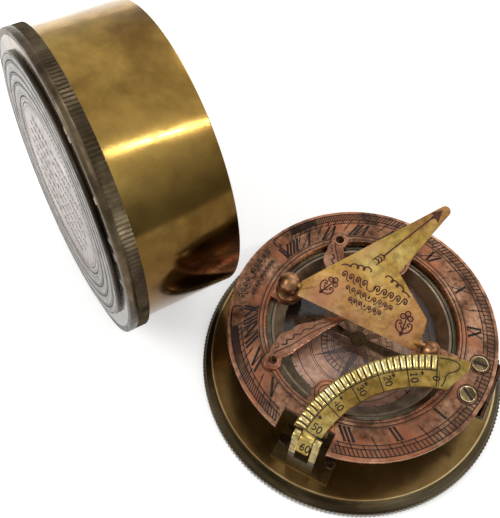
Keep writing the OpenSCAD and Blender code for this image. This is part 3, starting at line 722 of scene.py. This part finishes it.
def numeral(marks, hour, text):
    """Roman figures whose feet point out and whose strokes follow the hour line."""
    total = sum(GLYPHS[c][0] for c in text)
    squeeze = min(1.0, 5.6 / total) if abs(hour) >= 7 else 1.0
    at = -total / 2

    def spot(s, t):
        return hour_point(hour, NUMERAL_OUT + (NUMERAL_IN - NUMERAL_OUT) * t, s * squeeze)

    for c in text:
        room, strokes, feet = GLYPHS[c]
        middle = at + room / 2
        for (s0, t0), (s1, t1), w in strokes:
            a, b = spot(middle + s0, t0), spot(middle + s1, t1)
            if not (in_notch(*a) or in_notch(*b)):
                marks.stroke([a, b], w * squeeze)
        for s, t in feet:
            a, b = spot(middle + s - 0.55, t), spot(middle + s + 0.55, t)
            if not (in_notch(*a) or in_notch(*b)):
                marks.stroke([a, b], 0.22)
        at += room


figures = Marks(on_plate, top=0.025)
for hour in range(-8, 9):
    if hour:
        numeral(figures, hour, NUMERALS[12 - hour if hour > 0 else -hour])
figures.piece("plate_figures", "plate", line_ink_and_shade, "hour_plate")

# Ends of the scale, two hatched bars, running scrolls at the midnight end, ring outlines, and a painted
# shadow ring round each screw
trim = Marks(on_plate)
BAR_TURN, BAR_HALF = 161.0, 0.62
BAR_OUT, BAR_DEPTH, BAR_HATCHES = 36.6, 4.2, 17


def scale_end(marks, side):
    """The outer line of the scale, which turns inwards at its end and curls up."""
    path = [polar(RING_OUT, math.radians(side * (150 + k))) for k in range(10)]
    for k in range(1, 7):
        t = k / 6 * math.pi / 2
        path.append(polar(RING_OUT - 1.5 * (1 - math.cos(t)),
                          math.radians(side * (159 + 2.15 * math.sin(t)))))
    path += [polar(r, math.radians(side * turn)) for r, turn in (
        (37.9, 161.2), (37.3, 160.6), (37.0, 159.7), (37.4, 159.1), (37.9, 159.6), (37.7, 160.2))]
    marks.stroke(smooth(path, 2), 0.4, 0.5)


def hatched_bar(marks, side):
    """A narrow bar of slanting strokes across the ring, beyond the last hour."""
    middle = math.radians(side * BAR_TURN)
    for edge in (-BAR_HALF, BAR_HALF):
        marks.stroke([polar(r, middle + side * (edge - 0.03 * (37 - r)) / r)
                      for r in (36.7, 35, 33.5, 32.3)], 0.36)
    for k in range(BAR_HATCHES):
        r = BAR_OUT - BAR_DEPTH * k / (BAR_HATCHES - 1)
        marks.stroke([polar(r + 0.25, middle - BAR_HALF / r), polar(r, middle + BAR_HALF / r)], 0.2)


for s in (-1, 1):
    scale_end(trim, s)
    hatched_bar(trim, s)


WAVE = smooth([(-0.5, -0.5), (-0.16, -0.42), (0.04, -0.08), (0.14, 0.3), (0.38, 0.5), (0.66, 0.42),
               (0.76, 0.12), (0.62, -0.12), (0.42, -0.06), (0.4, 0.14)], 3)


def vine(marks, place, length, height, waves, width):
    """A generic running scroll: rows of ball-ended waves that meet at a bud in the middle."""
    span = length / (waves + 0.8)
    for k in range(waves):
        x0 = (k + 0.5 - waves / 2) * span
        s = 1 if x0 >= -0.01 else -1
        points = [(x0 + s * x * span * 0.94, y * height) for x, y in WAVE]
        marks.stroke([place(*q) for q in points], width * 0.8, width * 1.2)
        marks.dot(*place(points[-1][0] + s * 0.03 * span, points[-1][1] + 0.02 * height),
                  width * 0.75, 8)
    marks.shape([place(0.0, 0.55 * height), place(-0.2 * span, 0.1 * height),
                 place(0.0, -0.25 * height), place(0.2 * span, 0.1 * height)])


def midnight_place(r):
    """Drawing plane that bends round the ring at the midnight end."""
    return lambda x, y: polar(r + y, math.pi - x / r)


vine(trim, midnight_place(38.0), 19.5, 2.3, 9, 0.36)
vine(trim, midnight_place(34.8), 14.0, 1.6, 9, 0.28)
for s in (-1, 1):
    for r, w in ((3.9, 0.26), (2.7, 0.3), (1.2, 0.5)):
        trim.ring(r, w, (0, s * SIDE_LUG_Y), 8.0)
    # A dark ring round each screw head, a painted shadow
    trim.ring(SCREW_ROOM + 0.05, 0.34, (SCREW_AT[0], s * SCREW_AT[1]), 8.0)
    trim.arc((ARM_FOOT_AT[0], s * ARM_FOOT_AT[1]), 3.3, s * 60, s * 240, 0.3, 8.0)
trim.piece("plate_trim", "plate", line_ink_and_shade, "hour_plate")

# Lines that fill the two grooves round the opening
grooves = Marks(on_plate, top=-0.015, bottom=-0.2)
for r in (31.65, 30.45):
    broken(grooves, circle(r, step=0.75), 0.3,
           lambda x, y: in_notch(x, y, margin=0.1) or near(x, y, ARM_FOOT_AT, 2.75))
grooves.piece("plate_grooves", "plate", line_ink_and_shade, "hour_plate")

# Engraved lines along each scroll arm: widths at the ends, then shares of its length with the
# distance to one side
ARM_CURVE = (Vector((ARM_FOOT_AT[0], -ARM_FOOT_AT[1])), Vector((-19.5, -15.5)),
             Vector((-5.7, -0.8)))
ARM_LINES = (
    (0.34, 0.24, ((0.1, -0.9), (0.2, -0.2), (0.32, 0.7), (0.44, 1.2), (0.56, 1.0), (0.7, 0.7),
                  (0.84, 0.5), (0.97, 0.2))),
    (0.5, 0.24, ((0.3, -0.9), (0.36, -0.1), (0.4, -1.0), (0.46, -0.2), (0.51, -1.1), (0.57, -0.3),
                 (0.63, -1.1), (0.7, -0.4), (0.76, -1.0), (0.86, -0.4))),
    (0.36, 0.2, ((0.2, -1.6), (0.25, -1.0), (0.29, -1.9))),
)


def arm_point(side, t, across):
    """Place beside the curve along the middle of a scroll arm."""
    p0, p1, p2 = ARM_CURVE
    q = p0 * (1 - t) ** 2 + p1 * 2 * t * (1 - t) + p2 * t * t
    d = ((p1 - p0) * (1 - t) + (p2 - p1) * t).normalized()
    q = q + Vector((d.y, -d.x)) * across
    return q.x, q.y * -side


for half, side in (("am", 1), ("pm", -1)):
    arm = Marks(on_arm)
    for start, end, places in ARM_LINES:
        arm.stroke(smooth([arm_point(side, t, across) for t, across in places]), start, end)
    arm.piece(f"arm_lines_{half}", "plate", line_ink_and_shade, f"scroll_arm_{half}")

# Compass card: star, rings, degree ticks and the four letters
rose = Marks(on_card)
half_dark = Marks(on_card, top=0.03)
BAND_IN, BAND_OUT = 9.6, 11.4
DEGREE_IN, DEGREE_OUT, LONG_IN = 21.9, 24.0, 20.8
LETTER_R = 16.3
for count, r_out, r_in, offset in ((4, 17.2, 3.6, 0.0), (4, 14.2, 3.4, 45.0), (8, 10.6, 3.8, 22.5)):
    for k in range(count):
        a = math.radians(offset + 360 / count * k)
        half_turn = math.radians(22.5 if count == 8 else 40)
        tip = polar(r_out, a)
        left, right = polar(r_in, a + half_turn), polar(r_in, a - half_turn)
        if count == 4:
            half_dark.shape([(0, 0), tip, left])
        rose.stroke([(0, 0), right, tip, left], 0.24)
        rose.stroke([(0, 0), tip], 0.2)
for r, w in ((7.4, 0.24), (8.1, 0.18), (14.6, 0.24), (15.2, 0.2), (19.4, 0.26),
             (DEGREE_IN, 0.24), (DEGREE_OUT, 0.3)):
    rose.ring(r, w)
for k in range(48):
    a = math.radians(7.5 * k)
    rose.stroke([polar(BAND_IN, a), polar(BAND_OUT, a)], 0.3)
for r in (BAND_IN, BAND_OUT):
    rose.ring(r, 0.26)
for k in range(180):
    a = math.radians(2 * k)
    r0, w = (DEGREE_IN, 0.24) if k % 5 else (LONG_IN, 0.34)
    rose.stroke([polar(r0, a), polar(DEGREE_OUT, a)], w)
LETTERS = {
    "N": [[(-0.7, 0), (-0.7, 2)], [(-0.7, 2), (0.7, 0)], [(0.7, 0), (0.7, 2)]],
    "E": [[(0.6, 0), (-0.6, 0), (-0.6, 2), (0.6, 2)], [(-0.6, 1), (0.4, 1)]],
    "S": [[(-0.6, 0.3), (0, 0), (0.6, 0.4), (0.4, 0.9), (-0.4, 1.15), (-0.6, 1.6), (0, 2), (0.6, 1.7)]],
    "W": [[(-1.0, 2), (-0.5, 0), (0, 1.5), (0.5, 0), (1.0, 2)]],
}
for letter, turn in (("N", 0), ("E", -90), ("S", 180), ("W", 90)):
    a = math.radians(turn)
    for path in LETTERS[letter]:
        rose.stroke([((LETTER_R + y) * math.cos(a) + x * math.sin(a),
                      (LETTER_R + y) * math.sin(a) - x * math.cos(a)) for x, y in path], 0.34)
rose.piece("card_rose", "base", line_ink_and_shade, "compass_card")
half_dark.piece("card_star", "base", rose_ink, "compass_card")

# Latitude arc: groove line, ribs, figures, oval and end lines
degrees = Marks(on_arc)
ARC_START, ARC_STEP = 109.2, 1.245
ARC_IN, ARC_GROOVE, ARC_END = 34.1, 38.9, 51.3
ARC_OUTER_CENTRE, ARC_OUTER_R = Vector((38.2, -1.7)), 42.7


def arc_point(value, r, shift=0.0):
    a = math.radians(ARC_START + ARC_STEP * value) + shift / r
    return ARC_CENTRE[0] + r * math.cos(a), ARC_CENTRE[1] + r * math.sin(a)


def arc_outer(value):
    """Distance from the marks' centre to the arc's outer edge, in the direction of a mark."""
    a = math.radians(ARC_START + ARC_STEP * value)
    c = ARC_OUTER_CENTRE - Vector(ARC_CENTRE)
    d = Vector((math.cos(a), math.sin(a)))
    along = c.dot(d)
    return along + math.sqrt(along * along - c.length_squared + ARC_OUTER_R ** 2) - 0.15


degrees.stroke([arc_point(v / 2, ARC_GROOVE) for v in range(0, 103)], 0.3)
for v in range(0, 52, 2):
    v = min(v, 50)
    degrees.stroke([arc_point(v, ARC_GROOVE), arc_point(v, arc_outer(v))], 0.3)
for v in (0, 10, 20, 30, 40, ARC_END):
    degrees.stroke([arc_point(v, ARC_IN), arc_point(v, ARC_GROOVE)], 0.32)
degrees.stroke([arc_point(ARC_END, ARC_GROOVE), arc_point(ARC_END, arc_outer(ARC_END))], 0.32)
degrees.stroke([arc_point(-0.8, ARC_IN + 0.2), arc_point(-0.8, ARC_GROOVE)], 0.16)
ARROW_TIP, ARROW_STEM, ARROW_BACK, ARROW_HALF = 37.1, 37.9, 38.15, 0.62
for v in range(5, 50, 10):
    degrees.stroke([arc_point(v, ARC_GROOVE), arc_point(v, ARROW_STEM)], 0.26)
    degrees.shape([arc_point(v, ARROW_TIP), arc_point(v, ARROW_BACK, ARROW_HALF),
                   arc_point(v, ARROW_BACK, -ARROW_HALF)])
FIGURE_R, FIGURE_STEP, FIGURE_SIZE = 36.65, 1.62, 0.97
DIGITS = {
    "0": [[(0, 0), (0.45, 0.3), (0.6, 1), (0.45, 1.7), (0, 2), (-0.45, 1.7), (-0.6, 1),
           (-0.45, 0.3), (0, 0)]],
    "1": [[(-0.35, 1.6), (0.05, 2), (0.05, 0)], [(-0.35, 0), (0.45, 0)]],
    "2": [[(-0.55, 1.6), (-0.2, 2), (0.3, 1.95), (0.55, 1.5), (0.35, 1), (-0.55, 0), (0.6, 0)]],
    "3": [[(-0.5, 1.8), (0, 2), (0.5, 1.6), (0.2, 1.1), (-0.1, 1.05), (0.3, 0.95), (0.6, 0.5),
           (0.1, 0), (-0.55, 0.25)]],
    "4": [[(0.35, 0), (0.35, 2), (-0.6, 0.65), (0.65, 0.65)]],
    "5": [[(0.5, 2), (-0.4, 2), (-0.45, 1.15), (0.15, 1.25), (0.6, 0.75), (0.3, 0.1),
           (-0.5, 0.1)]],
    "6": [[(0.4, 1.9), (-0.2, 1.6), (-0.55, 0.8), (-0.35, 0.15), (0.2, 0), (0.55, 0.5), (0.3, 1),
           (-0.4, 0.9)]],
}


def arc_number(value, text):
    """Figures that read inwards from the groove, with their tops towards the start."""
    for k, c in enumerate(text):
        middle = FIGURE_R + (len(text) - 1) * FIGURE_STEP / 2 - k * FIGURE_STEP
        for path in DIGITS[c]:
            degrees.stroke([arc_point(value, middle - x * FIGURE_SIZE, (1.0 - y) * FIGURE_SIZE)
                            for x, y in path], 0.4)


for v, text in ((0.1, "0"), (7.8, "10"), (17.3, "20"), (27.4, "30"), (37.4, "40"), (48.6, "50"),
                (56.6, "60")):
    arc_number(v, text)
panel = [(24.6, 37.9), (26.4, 38.45), (28.2, 38.85), (29.4, 38.85), (30.25, 38.35), (30.55, 37.5),
         (30.1, 36.5), (29.1, 35.6), (28.35, 34.8), (28.0, 33.8), (28.2, 32.7), (28.15, 31.6),
         (27.9, 30.5)]
degrees.stroke(smooth(panel), 0.34)
degrees.piece("arc_scale", "arc", line_ink_and_shade, "latitude_arc")


def rib_faces(spans, profile):
    """Rounded pads between two directions each, on the arc's outer band."""
    verts, faces = [], []
    for v0, v1 in spans:
        b = len(verts)
        middle = (v0 + v1) / 2
        r0, r1 = ARC_GROOVE + 0.3, arc_outer(middle) - 0.1
        across = ((v0, 0.0), (v0 + (v1 - v0) * 0.12, 0.8), (middle, 1.0),
                  (v1 - (v1 - v0) * 0.12, 0.8), (v1, 0.0))
        for share, h in profile:
            r = r0 + (r1 - r0) * share
            verts += [on_arc(*arc_point(v, r), h * lift - 0.02) for v, lift in across]
        n, rows = len(across), len(profile)
        for i in range(rows - 1):
            faces += [(b + i * n + k, b + i * n + k + 1, b + (i + 1) * n + k + 1,
                       b + (i + 1) * n + k) for k in range(n - 1)]
        rim = [b + k for k in range(n)] + [b + i * n + n - 1 for i in range(1, rows)]
        rim += [b + (rows - 1) * n + k for k in range(n - 2, -1, -1)]
        rim += [b + i * n for i in range(rows - 2, 0, -1)]
        faces.append(tuple(reversed(rim)))
    return verts, faces


RIB_PROFILE = [(0.0, 0.0), (0.06, 0.16), (0.22, 0.27), (0.5, 0.32), (0.78, 0.25), (0.94, 0.12),
               (1.0, 0.0)]
rib_spans = [(v + 0.18, v + 1.82) for v in range(0, 50, 2)] + [(50.25, 51.1)]
made("arc_ribs", *rib_faces(rib_spans, RIB_PROFILE), "arc", rib_metal.mat, "latitude_arc",
     smooth_face=lambda face: len(face.verts) == 4)

# Gnomon: a feathered arrow, loops, two leaf motifs and running scrolls
art = Marks(on_gnomon)
art.stroke([(-2.3, 19.2), (6.1, 35.7)], 0.5, 0.46)
art.shape([(7.77, 38.7), (5.1, 36.6), (6.1, 36.3), (5.5, 35.0), (6.9, 35.5), (8.1, 34.7)])
for k in range(3):
    x, y = -2.1 - 0.51584 * k, 19.4 - 0.8928 * k
    art.stroke([(x, y), (x - 1.25, y - 0.1), (x - 1.7, y - 0.75)], 0.56, 0.34)
    art.stroke([(x, y), (x + 0.35, y - 1.0), (x - 0.1, y - 1.75)], 0.56, 0.34)


def loops(marks, start, end, count, size, width, lead, side=1):
    """A line that runs into a row of round loops, as an engraver starts a flourish."""
    start, end = Vector(start), Vector(end)
    along = (end - start).normalized()
    up = Vector((-along.y, along.x)) * side
    points = [start + along * (lead * t / 6) + up * (0.35 * size * math.sin(math.pi * t / 6))
              for t in range(6)]
    run = (end - start).length - lead
    for i in range(count * 14 + 1):
        t = i / 14
        turn = 2 * math.pi * t
        points.append(start + along * (lead + run * t / count - size * 0.55 * math.sin(turn))
                      + up * (size * 0.75 * (1 - math.cos(turn)) / 1.6))
    marks.stroke([(p.x, p.y) for p in points], width)


loops(art, (-12.6, 11.6), (-4.0, 13.3), 3, 1.25, 0.46, lead=3.0)
loops(art, (9.6, 11.2), (1.0, 13.6), 3, 1.25, 0.46, lead=3.0, side=-1)


def leaf_motif(marks, centre, size, turn):
    """A generic ornament: a trefoil on a stem between two scrolls with ball ends."""
    ca, sa = math.cos(turn), math.sin(turn)

    def put(x, y):
        return centre[0] + size * (x * ca - y * sa), centre[1] + size * (x * sa + y * ca)

    def eye(x, y):
        loop = [polar(0.3, 0.52 * k) for k in range(13)]
        marks.stroke([put(x + dx, y + dy) for dx, dy in loop], 0.2 * size)
        marks.dot(*put(x, y), 0.1 * size, 6)

    for s in (-1, 1):
        marks.stroke([put(s * x, y) for x, y in (
            (0.05, -0.95), (0.4, -0.95), (0.8, -0.65), (1.0, -0.15), (0.9, 0.3), (0.55, 0.42),
            (0.35, 0.2), (0.45, -0.05))], 0.17 * size, 0.24 * size)
        marks.dot(*put(s * 0.58, 0.02), 0.13 * size, 8)
        marks.stroke([put(s * x, y) for x, y in ((0.05, -0.5), (0.3, -0.35), (0.32, -0.1))],
                     0.16 * size)
        eye(s * 0.46, 0.98)
    eye(0, 1.46)
    marks.stroke([put(0, 1.1), put(0.02, 0.2), put(0, -1.45)], 0.16 * size, 0.26 * size)
    marks.stroke([put(-0.3, -1.15), put(0.3, -1.15)], 0.18 * size)


leaf_motif(art, (-13.9, 3.7), 2.25, math.radians(-28))
leaf_motif(art, (11.4, 3.1), 2.45, math.radians(4))


def straight(x0, y0):
    return lambda x, y: (x0 + x, y0 + y)


vine(art, straight(-0.9, 9.1), 21.5, 2.5, 9, 0.44)
vine(art, straight(-1.2, 5.8), 15.5, 1.9, 8, 0.36)
vine(art, straight(-1.4, 2.9), 11.0, 1.8, 6, 0.36)
art.piece("gnomon_engraving", "gnomon", brown_ink, "gnomon")

# Lid: dark lines of painted shade in the turned steps, a bead ring and running scrolls on the silvered
# disc
rings = Marks(on_lid_face, top=-0.03, bottom=-0.3)
shallow = Marks(on_lid_face)
# Dark lines of painted shade where the turned steps drop
for r in (40.7, 37.0, 33.8):
    rings.ring(r, 0.6, step=2.0)
for r in (42.7, 39.9, 36.3, 33.1):
    shallow.ring(r, 0.24, step=2.0)
shallow.piece("lid_ring_shadows", "lid", soft_ink_and_shade, "lid_medallion")
rings.piece("lid_ring_lines", "lid", line_ink_and_shade, "lid_medallion")
edge = Marks(on_lid_disc)
edge.ring(29.55, 0.7, step=2.0)
edge.piece("lid_disc_edge", "lid", line_ink_and_shade, "lid_medallion")
disc = Marks(on_lid_disc)
BEAD_RING, BEAD_RING_HALF, BEADS = 27.5, 1.1, 120
for r in (BEAD_RING + BEAD_RING_HALF, BEAD_RING - BEAD_RING_HALF):
    disc.ring(r, 0.16, step=2.0)
for k in range(BEADS):
    disc.dot(*polar(BEAD_RING, math.radians(360 / BEADS * k)), 0.42, 8)
for y, length in ((17, 30), (11.5, 38), (5.7, 42), (0, 44), (-5.7, 42), (-11.5, 38), (-17, 30)):
    vine(disc, straight(0, y), length, 3.4 if y == 0 else 2.6, 11, 0.3)
disc.piece("lid_disc_scrolls", "lid", soft_ink_and_shade, "lid_medallion")


# Turned pieces: ball knobs, band of the lid, screw heads, and a collar at the gnomon's heel

KNOB_MIDDLE = AXIS_Z - 1.4


def upright(x0, y0):
    return lambda x, y, z: (x0 * MM + x * MM, y0 * MM + y * MM, z * MM)


def facing_x(x0, y0, z0):
    return lambda x, y, z: ((x0 + z) * MM, (y0 + x) * MM, (z0 + y) * MM)


def bead(r_in, r_out, z0, z1, steps=8):
    """Outline of a rounded ring."""
    middle, half = (z0 + z1) / 2, (z1 - z0) / 2
    out = [(r_out - half + half * math.cos(t), middle + half * math.sin(t))
           for t in [math.pi * (k / steps - 0.5) for k in range(steps + 1)]]
    return [(r_in, z0)] + out + [(r_in, z1)]


def knob_outline(r):
    """A ball that sits low on a flat collar, with a short neck between."""
    neck, foot = 0.62 * r, PLATE_TOP
    low = math.asin(neck / r)
    ball = [(r * math.sin(a), KNOB_MIDDLE - r * math.cos(a))
            for a in [low + (math.pi - low) * k / 26 for k in range(27)]]
    return [(0, foot), (r + 0.45, foot), (r + 0.55, foot + 0.2), (r + 0.4, foot + 0.4),
            (neck + 0.5, foot + 0.5), (neck, foot + 0.7)] + ball


for tag, x, r in (("midnight", -25.25, 3.55), ("noon", 21.5, 3.1)):
    turned = lathe(f"{tag}_knob", knob_outline(r), "plate", knob.mat, f"{tag}_post",
                   [upright(x, 0)], 56)
    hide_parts(f"{tag}_post")
lathe("lid_band", [(48.5, 0.02), (49.75, 0.02), (50.04, 0.3), (50.04, 2.3), (49.85, 2.5),
                   (48.5, 2.5)], "lid", lid_knurl.mat, "lid_rim", [in_lid], 180)

# Screws through the plate: a head with a pale edge that is a painted highlight, and a slot, drawn as a
# dark strip of painted shade, at its own angle
SHANK_R, SHANK_LOW = 1.2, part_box("hinge_screws")[0][2] / MM
HEAD_R, HEAD_LOW, HEAD_TOP = 2.5, PLATE_TOP + 0.02, PLATE_TOP + 0.6
SLOT_W, SLOT_HALF = 0.62, 2.42
SLOT_TURNS = ((1, 6), (-1, -34))
screws_at = [upright(SCREW_AT[0], s * SCREW_AT[1]) for s in (1, -1)]
heads = lathe("screw_heads", [
    (0, SHANK_LOW), (SHANK_R, SHANK_LOW), (SHANK_R, HEAD_LOW), (HEAD_R - 0.05, HEAD_LOW),
    (HEAD_R, HEAD_TOP - 0.45), (HEAD_R, HEAD_TOP - 0.15), (HEAD_R - 0.08, HEAD_TOP),
    (HEAD_R - 0.3, HEAD_TOP), (HEAD_R - 0.4, HEAD_TOP - 0.04), (0, HEAD_TOP)],
    "plate", screw.mat, "hinge_screws", screws_at, 40)
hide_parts("hinge_screws")
# Painted highlight: a pale ring on each head's edge
lathe("screw_rims", [
    (HEAD_R - 0.42, HEAD_TOP - 0.1), (HEAD_R - 0.02, HEAD_TOP - 0.1),
    (HEAD_R - 0.06, HEAD_TOP + 0.05), (HEAD_R - 0.2, HEAD_TOP + 0.1),
    (HEAD_R - 0.38, HEAD_TOP + 0.02)], "plate", screw_edge_highlight.mat, "hinge_screws", screws_at, 40)
# Painted shade: a dark strip over each head stands for its slot
slits = Marks(on_plate, top=0.66, bottom=0.5)
for s, turned in SLOT_TURNS:
    c, d = polar(SLOT_HALF, math.radians(turned))
    x, y = SCREW_AT[0], s * SCREW_AT[1]
    slits.stroke([(x - c, y - d), (x + c, y + d)], SLOT_W)
slits.piece("screw_slots", "plate", line_ink_and_shade, "hinge_screws")

lathe("heel_collar", bead(0.8, 1.45, 0.0, 0.5), "gnomon", arc_metal.mat, "gnomon",
      [facing_x(-21.75, 0, AXIS_Z)])


# Stage, world, lamps and camera
def floor():
    """A pale floor that keeps soft shadows, and glows enough to look white."""
    mesh = bpy.data.meshes.new("floor")
    half = 6.0
    mesh.from_pydata([(-half, -half, 0), (half, -half, 0), (half, half, 0), (-half, half, 0)], [],
                     [(0, 1, 2, 3)])
    ob = placed("floor", mesh)
    m = Nodes(bpy.data.materials.new("floor_pale"))
    m.shade("Base Color", m.ramp(m.noise(6, 2.0), [(0.3, grey(0.86)), (0.7, grey(0.88))]))
    m.shade("Roughness", 0.9)
    m.shade("Specular IOR Level", 0.1)
    paths = m.new("LightPath")
    seen = m.math("MAXIMUM", paths.outputs["Is Camera Ray"],
                  m.math("MAXIMUM", paths.outputs["Is Glossy Ray"],
                         paths.outputs["Is Transmission Ray"]))
    glow = m.new("Emission", Color=(1.0, 1.0, 1.0, 1.0))
    m.join(m.math("MULTIPLY", seen, 0.42), glow.inputs["Strength"])
    both = m.new("AddShader")
    m.join(m.shader.outputs[0], both.inputs[0])
    m.join(glow.outputs[0], both.inputs[1])
    m.join(both.outputs[0], m.output.inputs["Surface"])
    ob.data.materials.append(m.mat)


def world():
    """Soft light all round, paler overhead and darker low down on the side of the base."""
    studio = bpy.data.worlds.new("studio")
    bpy.context.scene.world = studio
    sky = Nodes(studio)
    way = sky.new("TexCoord").outputs["Generated"]

    def tones(*stops):
        return [(place, (tone, tone, tone * 0.99)) for place, tone in stops]

    parts = sky.new("SeparateXYZ")
    sky.join(way, parts.inputs[0])
    high = sky.ramp(parts.outputs["Z"],
                    tones((0.0, 0.60), (0.3, 0.60), (0.6, 0.62), (0.85, 0.66), (1.0, 0.6)))
    towards = sky.vector("DOT_PRODUCT", way, Vector((0.93, -0.3, -0.2)).normalized())
    dim = sky.ramp(towards.outputs["Value"],
                   tones((0.35, 1.0), (0.6, 0.8), (0.85, 0.42), (1.0, 0.4)))
    back = sky.tree.nodes["Background"]
    sky.join(sky.mix(1.0, high, dim, "MULTIPLY"), back.inputs["Color"])
    back.inputs["Strength"].default_value = 1.0


def lamp(name, place, aim, size, power, size_y=None, twist=None):
    """A disc lamp, or a strip whose long side, of size_y, lies along twist."""
    data = bpy.data.lights.new(name, "AREA")
    data.shape = "RECTANGLE" if size_y else "DISK"
    data.size, data.size_y = size, size_y or size
    data.energy = power
    ob = placed(name, data)
    back = (Vector(place) - Vector(aim)).normalized()
    ob.rotation_mode = "QUATERNION"
    if twist is None:
        ob.rotation_quaternion = (-back).to_track_quat("-Z", "Y")
    else:
        along = (Vector(twist) - Vector(twist).dot(back) * back).normalized()
        across = along.cross(back)
        ob.rotation_quaternion = Matrix((across, along, back)).transposed().to_quaternion()
    ob.location = place


floor()
world()
BASE_MIDDLE = (0.0, 0.0, 0.03)
lamp("strip", (0.276, 0.0085, 0.58), (-0.065, -0.004, 0.089), 0.01, 0.62, size_y=0.48,
     twist=(0.506, 0.77, -0.217))
lamp("soft_left", (-0.7, -0.5, 0.8), BASE_MIDDLE, 0.6, 5.0)
lamp("soft_back", (0.1, 0.9, 0.7), BASE_MIDDLE, 0.7, 2.5)

CAMERA_AT = Vector((16.06, -106.93, 254.93)) * MM
AZIMUTH, ELEVATION, ROLL = (math.radians(d) for d in (27.5, 57.67, 1.17))
FOCAL_PX, SHIFT_PX, IMAGE_H = 793.92, -44.0, 518
SENSOR = 36.0
right = Vector((1, 0, 0))
up = Vector((0, math.sin(ELEVATION), math.cos(ELEVATION)))
back = Vector((0, -math.cos(ELEVATION), math.sin(ELEVATION)))
x_cam = right * math.cos(ROLL) + up * math.sin(ROLL)
y_cam = -right * math.sin(ROLL) + up * math.cos(ROLL)
turn = Matrix.Rotation(AZIMUTH, 3, "Z") @ Matrix((x_cam, y_cam, back)).transposed()
camera = placed("camera", bpy.data.cameras.new("camera"))
bpy.context.scene.camera = camera
camera.matrix_world = Matrix.Translation(CAMERA_AT) @ turn.to_4x4()
camera.data.sensor_width = SENSOR
camera.data.lens = FOCAL_PX * SENSOR / IMAGE_H
camera.data.shift_y = SHIFT_PX / IMAGE_H
camera.data.clip_start, camera.data.clip_end = 0.01, 30.0
bpy.context.scene.view_settings.view_transform = "Standard"
